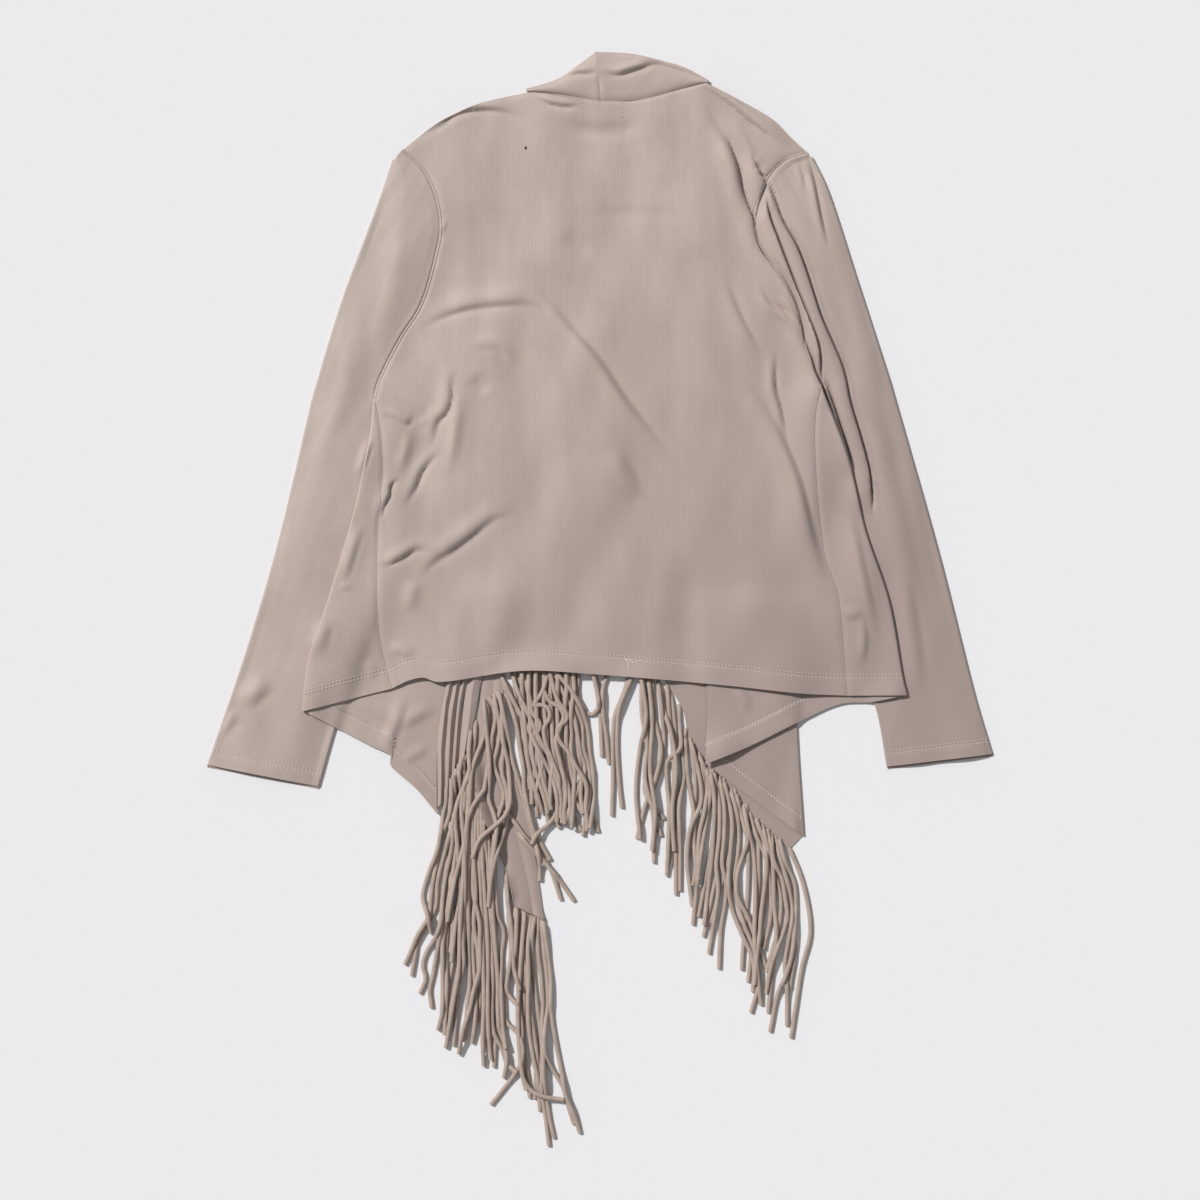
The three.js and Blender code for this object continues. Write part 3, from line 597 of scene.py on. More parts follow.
# %% [markdown]
# ## Cloth walls
#
# The jersey is 0.9 mm thick here. Each piece starts as a grid of points on its middle surface,
# and its two faces lie half a thickness to either side. Building the faces from one grid keeps
# the wall even, closed and free of stray faces, which a Solidify modifier can't promise at folds.

# %% Walls from grids of points
SHARP_ANGLE = math.radians(50)


def grid_normals(grid, ring):
    """Unit vectors square to a grid of points. A ring closes on itself across."""
    if ring:
        across = np.roll(grid, -1, axis=1) - np.roll(grid, 1, axis=1)
    else:
        across = np.gradient(grid, axis=1)
    normal = np.cross(across, np.gradient(grid, axis=0))
    return normal / np.maximum(np.linalg.norm(normal, axis=2, keepdims=True), 1e-9)


def quads(a, b, c, d):
    return np.stack([a, b, c, d], axis=-1).reshape(-1, 4)


def wall_faces(index, other, ring, holes):
    """The faces of both sides of a wall and of its rims, from the vertex numbers of each side."""
    keep = np.ones((index.shape[0] - 1, index.shape[1] - 1), bool)
    rims = []
    for r, c in holes:
        keep[r, c] = False
        corners = [(r, c), (r + 1, c), (r + 1, c + 1), (r, c + 1)]
        for start, end in zip(corners, corners[1:] + corners[:1]):
            rims.append([other[start], other[end], index[end], index[start]])
    faces = [quads(index[:-1, :-1], index[1:, :-1], index[1:, 1:], index[:-1, 1:])[keep.ravel()],
             quads(other[:-1, :-1], other[:-1, 1:], other[1:, 1:], other[1:, :-1])[keep.ravel()],
             quads(index[0, :-1], index[0, 1:], other[0, 1:], other[0, :-1]),
             quads(index[-1, 1:], index[-1, :-1], other[-1, :-1], other[-1, 1:])]
    if not ring:
        faces += [quads(index[1:, 0], index[:-1, 0], other[:-1, 0], other[1:, 0]),
                  quads(index[:-1, -1], index[1:, -1], other[1:, -1], other[:-1, -1])]
    if rims:
        faces.append(np.array(rims))
    return np.concatenate(faces)


def wall_object(name, grid, threads, ring=False, holes=()):
    """A closed wall of cloth round a grid of points, in millimetres, with a UV map in metres."""
    offset = grid_normals(grid, ring) * CLOTH / 2
    vertices = np.concatenate([(grid + offset).reshape(-1, 3), (grid - offset).reshape(-1, 3)]) / 1000
    index = np.arange(grid.shape[0] * grid.shape[1]).reshape(grid.shape[:2])
    other = index + index.size
    if ring:
        index, other = [np.concatenate([side, side[:, :1]], axis=1) for side in (index, other)]
    faces = wall_faces(index, other, ring, holes)
    corner = vertices[faces]
    volume = np.sum(corner[:, 0] * np.cross(corner[:, 1], corner[:, 2])
                    + corner[:, 0] * np.cross(corner[:, 2], corner[:, 3]))
    if volume < 0:
        faces = faces[:, ::-1]
    mesh = bpy.data.meshes.new(name)
    mesh.from_pydata(vertices.tolist(), [], faces.tolist())
    uv = np.concatenate([threads.reshape(-1, 2)] * 2) / 1000
    layer = mesh.uv_layers.new(name="threads")
    layer.uv.foreach_set("vector", uv[faces.ravel()].ravel().astype(np.float32))
    mesh.shade_smooth()
    mesh.set_sharp_from_angle(angle=SHARP_ANGLE)
    made = bpy.data.objects.new(name, mesh)
    scene.collection.objects.link(made)
    print(name, len(faces) * 2, "triangles, highest", round(float(vertices[:, 2].max() * 1000), 1), "mm")
    return made


def with_height(xy, z):
    """Flat points with their height added."""
    return np.concatenate([xy, np.broadcast_to(z, xy.shape[:-1])[..., None]], axis=-1)


# %% Edges of a piece
SEAM_DEPTH = 0.9
SEAM_WIDTH = 2.6
HEM_DEPTH = 19.0
HEM_RISE = 0.45
HEM_SOFTNESS = 0.8
HEM_GROOVE = 0.5
HEM_GROOVE_WIDTH = 1.6
LIP_HEIGHT = 1.5
LIP_WIDTH = 13.0
TURN_ANGLES = np.radians([-60, -30, 0, 30, 60])


def to_edge(grid, edge):
    """Distance of each point from the same row's or column's end on one edge of its grid."""
    ends = {"top": grid[:1], "bottom": grid[-1:], "left": grid[:, :1], "right": grid[:, -1:]}[edge]
    return np.linalg.norm(grid[..., :2] - ends[..., :2], axis=-1)


def seam_dip(grid, *edges, depth=SEAM_DEPTH):
    """How far sewn edges sink into their seam."""
    return sum(depth * bell(to_edge(grid, edge), SEAM_WIDTH) for edge in edges)


def hem_relief(grid, depth=HEM_DEPTH, groove=HEM_GROOVE):
    """A turned hem is a little prouder than the cloth and its stitches pull a groove."""
    away = to_edge(grid, "bottom")
    return HEM_RISE * step_down(away, depth, HEM_SOFTNESS) - groove * bell(away - depth, HEM_GROOVE_WIDTH)


def hem_lip(grid):
    """How far a loose hem curls up off the table."""
    return LIP_HEIGHT * bell(to_edge(grid, "bottom"), LIP_WIDTH)


def rounded_turn(line, leave, depth, middle, rise):
    """The round edge that joins a lower layer to the one above it, from low to high."""
    spots = line[:, None] + leave[:, None] * (depth * np.cos(TURN_ANGLES))[None, :, None]
    return with_height(spots, middle + rise * np.sin(TURN_ANGLES)[None])


# %% [markdown]
# ## Sleeves
#
# Each sleeve is a flattened tube, sewn in at the armhole and open at the cuff. Sections run from
# its outer edge to its inner edge, and each section is a flat ring of cloth.

# %% Sleeves
SLEEVE_HEIGHT = {"cuff": 3.4, "armhole": 4.2}
SLEEVE_NOSE = 1.5
SLEEVE_SETTLE = 6.0
SLEEVE_FULLNESS = 2.0
FULL_SLEEVE_AT = 34.0
SLEEVE_SLACK = 0.8
SLEEVE_LEAST = -2.3
UNDER_STRIDE = 4
CUFF_PEEP = 2.4
CUFF_PEEP_REACH = 14.0
CUFF_RUN = 8
CUFF_HEM = 14.0
SEAM_GAP = 0.35


def sleeve(side, armhole):
    """The wall of one sleeve and the grid of its upper layer."""
    name = f"{side}_sleeve"
    outer = chain(trace(LINES[f"{name}_top"], STEPS["armhole"]),
                  trace(LINES[f"{name}_outer"], STEPS["sleeve"]))
    inner = chain(armhole, trace(LINES[f"{name}_inner"], STEPS["sleeve"]))
    height = np.linspace(SLEEVE_HEIGHT["armhole"], SLEEVE_HEIGHT["cuff"], len(outer))
    leave_outer = outwards(outer, inner)
    leave_inner = outwards(inner, outer)
    start = outer - leave_outer * SLEEVE_NOSE
    end = inner - leave_inner * SLEEVE_NOSE
    share = np.linspace(0, 1, STEPS["sleeve_across"] + 1)[None, :, None]
    flat = start[:, None] * (1 - share) + end[:, None] * share
    middle = (height / 2)[:, None]
    rise = (height / 2 - CLOTH / 2)[:, None]
    from_edge = np.minimum(to_edge(flat, "left"), to_edge(flat, "right"))
    settled = np.clip(from_edge / SLEEVE_SETTLE, 0, 1)
    full = SLEEVE_FULLNESS * np.sin(np.clip(from_edge / FULL_SLEEVE_AT, 0, 1) * math.pi / 2)
    flat = flat + (drawn_in(flat) - flat) * settled[..., None]
    relief = (crease_height(flat, UPPER_CREASES) + SLEEVE_SLACK * slack(flat)) * settled
    relief = np.maximum(relief + full, SLEEVE_LEAST * settled)
    relief += hem_relief(flat, depth=CUFF_HEM) * settled
    upper = with_height(flat, middle + rise + relief)
    lower = with_height(flat[:, ::UNDER_STRIDE], middle - rise)
    half_way = lower.shape[1] // 2
    ring = np.concatenate([lower[:, half_way::-1],
                           rounded_turn(start, leave_outer, SLEEVE_NOSE, middle, rise),
                           upper,
                           rounded_turn(end, leave_inner, SLEEVE_NOSE, middle, rise)[:, ::-1],
                           lower[:, :half_way:-1]], axis=1)
    is_low = ring[..., 2] < middle
    past_cuff = outer[-1] - outer[-CUFF_RUN]
    peep = CUFF_PEEP * bell(to_edge(ring, "bottom"), CUFF_PEEP_REACH) * is_low
    ring[..., :2] += peep[..., None] * past_cuff / np.linalg.norm(past_cuff)
    down = run_along((outer + inner) / 2)
    run = run_across(ring)
    threads = np.stack([run, np.broadcast_to(-down[:, None], run.shape)], axis=-1)
    made = wall_object(f"sleeve_cloth_{side}", ring, threads, ring=True)
    cover(upper[STEPS["armhole"]:])
    return made, upper


armholes = {side: trace(LINES[f"{side}_armhole"], STEPS["armhole"]) for side in ("left", "right")}
side_seams = {side: trace(LINES[f"{side}_side_seam"], STEPS["side"]) for side in ("left", "right")}
sleeve_left, sleeve_left_top = sleeve("left", armholes["left"] + SEAM_GAP * to_right(armholes["left"]))
sleeve_right, sleeve_right_top = sleeve("right", armholes["right"] - SEAM_GAP * to_right(armholes["right"]))

# %% [markdown]
# ## Pieces that double back
#
# The fronts wrap round the sides of the body: one layer lies on the table and comes round a fold
# to its seam with the back. The collar and the right drape double back in the same way. One
# function lays the lower layer at once and makes the upper one when all that is between them lies.

# %% Doubled pieces
TABLE_GAP = 0.02
LAY_GAP = 0.3
UPPER_GAP = 0.8
NOSE = 1.6
FOLD_HEIGHT = 1.6
FOLD_FALL = 0.25
SEAM_EASE = 18.0
SEAM_EASE_ROWS = 12


def doubled(name, inner, fold, seam, top, bottom, to_fold, upper_relief, lower_relief=None, covers=False):
    """Lays the lower layer and returns a function that makes the whole piece."""
    turn = fold - to_fold * NOSE
    flat = patch(top, bottom, inner, turn)
    low = resting(flat) + LAY_GAP + CLOTH / 2
    if lower_relief is not None:
        low = low + lower_relief(flat)
    under = with_height(flat, np.maximum(low, CLOTH / 2 + TABLE_GAP))
    cover(under)

    def finish(seam_height=None):
        """Gives the wall, its lower grid and its upper grid, which ends at a seam of this height."""
        share = np.linspace(0, 1, STEPS["strip"] + 1)[None, :, None]
        flat_over = drawn_in(turn[:, None] * (1 - share) + seam[:, None] * share)
        flat_over[:, 0] = turn
        over = with_height(flat_over, resting(flat_over) + UPPER_GAP + CLOTH / 2 + upper_relief(flat_over))
        low_end = under[:, -1:, 2]
        high_end = np.maximum(over[:, :1, 2], low_end + FOLD_HEIGHT)
        over[..., 2] = np.maximum(over[..., 2], low_end + FOLD_HEIGHT - FOLD_FALL * to_edge(over, "left"))
        if seam_height is not None:
            below = np.clip((np.arange(len(over)) - STEPS["armhole"]) / SEAM_EASE_ROWS, 0, 1)[:, None]
            near_seam = below * bell(to_edge(over, "right"), SEAM_EASE)
            over[..., 2] += (seam_height - over[:, -1, 2])[:, None] * near_seam
        nose = rounded_turn(turn, to_fold, NOSE, (low_end + high_end) / 2, (high_end - low_end) / 2)
        whole = np.concatenate([under, nose, over], axis=1)
        run = run_across(whole)
        threads = np.stack([run - run[:, -1:] + seam[:, :1], whole[..., 1]], axis=-1)
        if covers:
            cover(over)
        return wall_object(name, whole, threads), under, over

    return finish


# %% Right drape
LOOSE_LIFT = 0.6
DRAPE_SLACK = 0.8
EDGE_SETTLE = 9.0


def drape_relief(flat):
    """The upper layer of the drape, which lies flat at its fringed edge."""
    relief = LOOSE_LIFT + DRAPE_SLACK * slack(flat) + hem_relief(flat, groove=0.0) + hem_lip(flat)
    return relief * np.clip(to_edge(flat, "left") / EDGE_SETTLE, 0, 1)


drape_edge, drape_fold, drape_seam = [trace(LINES[f"drape_{line}"], STEPS["side"])
                                      for line in ("fringed_edge", "fold", "inner_fold")]
drape, _, drape_over = doubled(
    "front_drape_right", drape_edge, drape_fold, drape_seam,
    straight(drape_edge[0], drape_fold[0], STEPS["drape_across"]),
    straight(drape_edge[-1], drape_fold[-1], STEPS["drape_across"]),
    outwards(drape_fold, drape_edge), drape_relief, covers=True)()

# %% [markdown]
# ## Fringe
#
# The front edges are cut into strips 6 mm wide, and each strip rolls up into a soft cord about
# 200 mm long. Python plans where each cord runs and Geometry Nodes sweeps a flattened round along
# it, because a cord is the same section repeated along many paths.

# %% Geometry Nodes shared by cords and stitches
def new_tree(name, numbers):
    """A Geometry Nodes tree that takes paths, some numbers and a finish, and its input node."""
    tree = bpy.data.node_groups.new(name, "GeometryNodeTree")
    tree.interface.new_socket("Paths", in_out="INPUT", socket_type="NodeSocketGeometry")
    for label in numbers:
        tree.interface.new_socket(label, in_out="INPUT", socket_type="NodeSocketFloat")
    tree.interface.new_socket("Finish", in_out="INPUT", socket_type="NodeSocketMaterial")
    tree.interface.new_socket("Shapes", in_out="OUTPUT", socket_type="NodeSocketGeometry")
    return tree, add_node(tree, "NodeGroupInput")


def end_tree(tree, given, shapes):
    """Smooths the shapes, makes them real, gives them the finish and sends them out."""
    smooth = add_node(tree, "GeometryNodeSetShadeSmooth", {"Geometry": shapes})
    real = add_node(tree, "GeometryNodeRealizeInstances", {"Geometry": smooth.outputs[0]})
    dressed = add_node(tree, "GeometryNodeSetMaterial",
                       {"Geometry": real.outputs[0], "Material": given.outputs["Finish"]})
    add_node(tree, "NodeGroupOutput", {"Shapes": dressed.outputs[0]})


def socket_id(tree, name):
    """The key under which a modifier keeps this input of its tree."""
    return next(item.identifier for item in tree.interface.items_tree
                if item.item_type == "SOCKET" and item.in_out == "INPUT" and item.name == name)


def poly_curve(name, lines, radii=None):
    """A curve object of open poly lines, in metres."""
    curve = bpy.data.curves.new(name, "CURVE")
    curve.dimensions = "3D"
    for k, line in enumerate(lines):
        spline = curve.splines.new("POLY")
        spline.points.add(len(line) - 1)
        spline.points.foreach_set("co", np.column_stack([line / 1000, np.ones(len(line))]).ravel())
        if radii is not None:
            spline.points.foreach_set("radius", radii[k])
    made = bpy.data.objects.new(name, curve)
    scene.collection.objects.link(made)
    return made


def plain_mesh(name, source, tree, **inputs):
    """Runs a Geometry Nodes tree on an object and keeps the result as a plain mesh piece."""
    modifier = source.modifiers.new("nodes", "NODES")
    modifier.node_group = tree
    for label, value in inputs.items():
        modifier[socket_id(tree, label)] = value
    ready = source.evaluated_get(bpy.context.evaluated_depsgraph_get())
    mesh = bpy.data.meshes.new_from_object(ready)
    mesh.name = name
    made = bpy.data.objects.new(name, mesh)
    scene.collection.objects.link(made)
    source.modifiers.remove(modifier)
    bpy.data.objects.remove(source)
    triangles = sum(len(face.vertices) - 2 for face in mesh.polygons)
    print(name, triangles, "triangles")
    return made


# %% Cord sweep in Geometry Nodes
CORD_SIDES = 8


def cord_sweep():
    tree, given = new_tree("cord_sweep", ("Width", "Flatness"))
    radius = add_node(tree, "ShaderNodeMath", {0: given.outputs["Width"]}, operation="MULTIPLY")
    radius.inputs[1].default_value = 0.5
    ring = add_node(tree, "GeometryNodeCurvePrimitiveCircle", {"Radius": radius.outputs[0]},
                    Resolution=CORD_SIDES)
    flat = add_node(tree, "ShaderNodeCombineXYZ", {"Y": given.outputs["Flatness"]}, X=1.0, Z=1.0)
    squeeze = add_node(tree, "GeometryNodeTransform", {"Geometry": ring.outputs[0], "Scale": flat.outputs[0]})
    upright = add_node(tree, "GeometryNodeSetCurveNormal", {"Curve": given.outputs["Paths"]}, mode="Z_UP")
    swept = add_node(tree, "GeometryNodeCurveToMesh",
                     {"Curve": upright.outputs[0], "Profile Curve": squeeze.outputs[0]}, Fill_Caps=True)
    end_tree(tree, given, swept.outputs[0])
    return tree


sweep_tree = cord_sweep()


# %% Cord paths
CORD_WIDTH = 4.5
CORD_FLATNESS = 0.8
CORD_THICKNESS = CORD_WIDTH * CORD_FLATNESS
CORD_PRESS = 1.5
CORD_RAYS = np.linspace(-CORD_PRESS, CORD_PRESS, 5)
CORD_GAP = 0.1
CORD_SAG = 0.98
CORD_LIMIT = 8.0
CORD_PLACES = 34
PRINT_FINENESS = 6
ROOT_LENGTH = 8.0
ROOT_INSIDE = 3.0
ROOT_THINNESS = 0.4
PLANNED_PLACES = 30
PLACE_GROWTH = 1.25
SWAY_GROWTH = 0.8
RIPPLE_SHARE = 0.35
RIPPLE_TURNS = 5.1


def at_across(points, across):
    """Places on a line that runs from left to right, at the given x."""
    order = np.argsort(points[:, 0])
    return np.column_stack([across, np.interp(across, points[order, 0], points[order, 1])])


def cord_line(start, end, bow, wave, turns, phase):
    """A cord's way on the plan: a bow and a wave that grows away from the root."""
    t = np.linspace(0, 1, PLANNED_PLACES)[:, None] ** PLACE_GROWTH
    run = end - start
    side = np.array([run[1], -run[0]]) / np.linalg.norm(run)
    ripple = RIPPLE_SHARE * np.sin(RIPPLE_TURNS * math.pi * turns * t + 2 * phase)
    sway = wave * t ** SWAY_GROWTH * (np.sin(2 * math.pi * turns * t + phase) + ripple)
    sway = sway - bow * np.sin(math.pi * t)
    return start + run * t - side * sway * np.sign(side[0] or 1)


def out_of_root(line):
    """From 0 at the root of a cord to 1 where it is clear of the cloth."""
    return ease(run_along(line) / ROOT_LENGTH)


def neighbours(values):
    """Each value's neighbours before and after it along a line."""
    padded = np.pad(values, 1, mode="edge")
    return padded[:-2], padded[2:]


def laid_cord(line, limit):
    """Lays one cord on the pile, no higher than the limit, and adds it to the pile."""
    spots = line[:, None] + to_right(line)[:, None] * CORD_RAYS[None, :, None]
    below = sample(pile, spots).max(axis=1)
    before, after = neighbours(below)
    below = np.maximum(below, (before + after) / 2)
    for _ in range(2):
        before, after = neighbours(below)
        below = np.maximum(below * CORD_SAG, (before + 2 * below + after) / 4)
    z = np.minimum(below + CORD_THICKNESS / 2 + CORD_GAP, limit)
    root = min(sample(pile, line[:1])[0] - CLOTH / 2, z[0])
    z = root + (z - root) * out_of_root(line)
    fine = evenly(with_height(line, z), len(line) * PRINT_FINENESS)
    fine_side = to_right(fine[:, :2])
    for off in CORD_RAYS:
        crown = CORD_THICKNESS / 2 * math.sqrt(1 - (2 * off / CORD_WIDTH) ** 2)
        raise_pile(fine[:, :2] + fine_side * off, fine[:, 2] + crown)
    return with_height(line, z)


# %% [markdown]
# Each row below is one fringe with its own seed of luck. Its placed cords follow listed places.
# A row with a count has planned cords too: their roots stand along a line or an edge, their
# ends follow another line, and they bow, wave and differ in length by so many millimetres. The
# limit is how high the middle of a cord may lie.

# %% Where each fringe hangs
EDGE_STEPS = 40


def bottom_of(piece):
    """The straight lower edge of a piece that carries cords."""
    return straight(on_plan(LINES[f"{piece}_left"])[-1], on_plan(LINES[f"{piece}_right"])[-1], EDGE_STEPS)


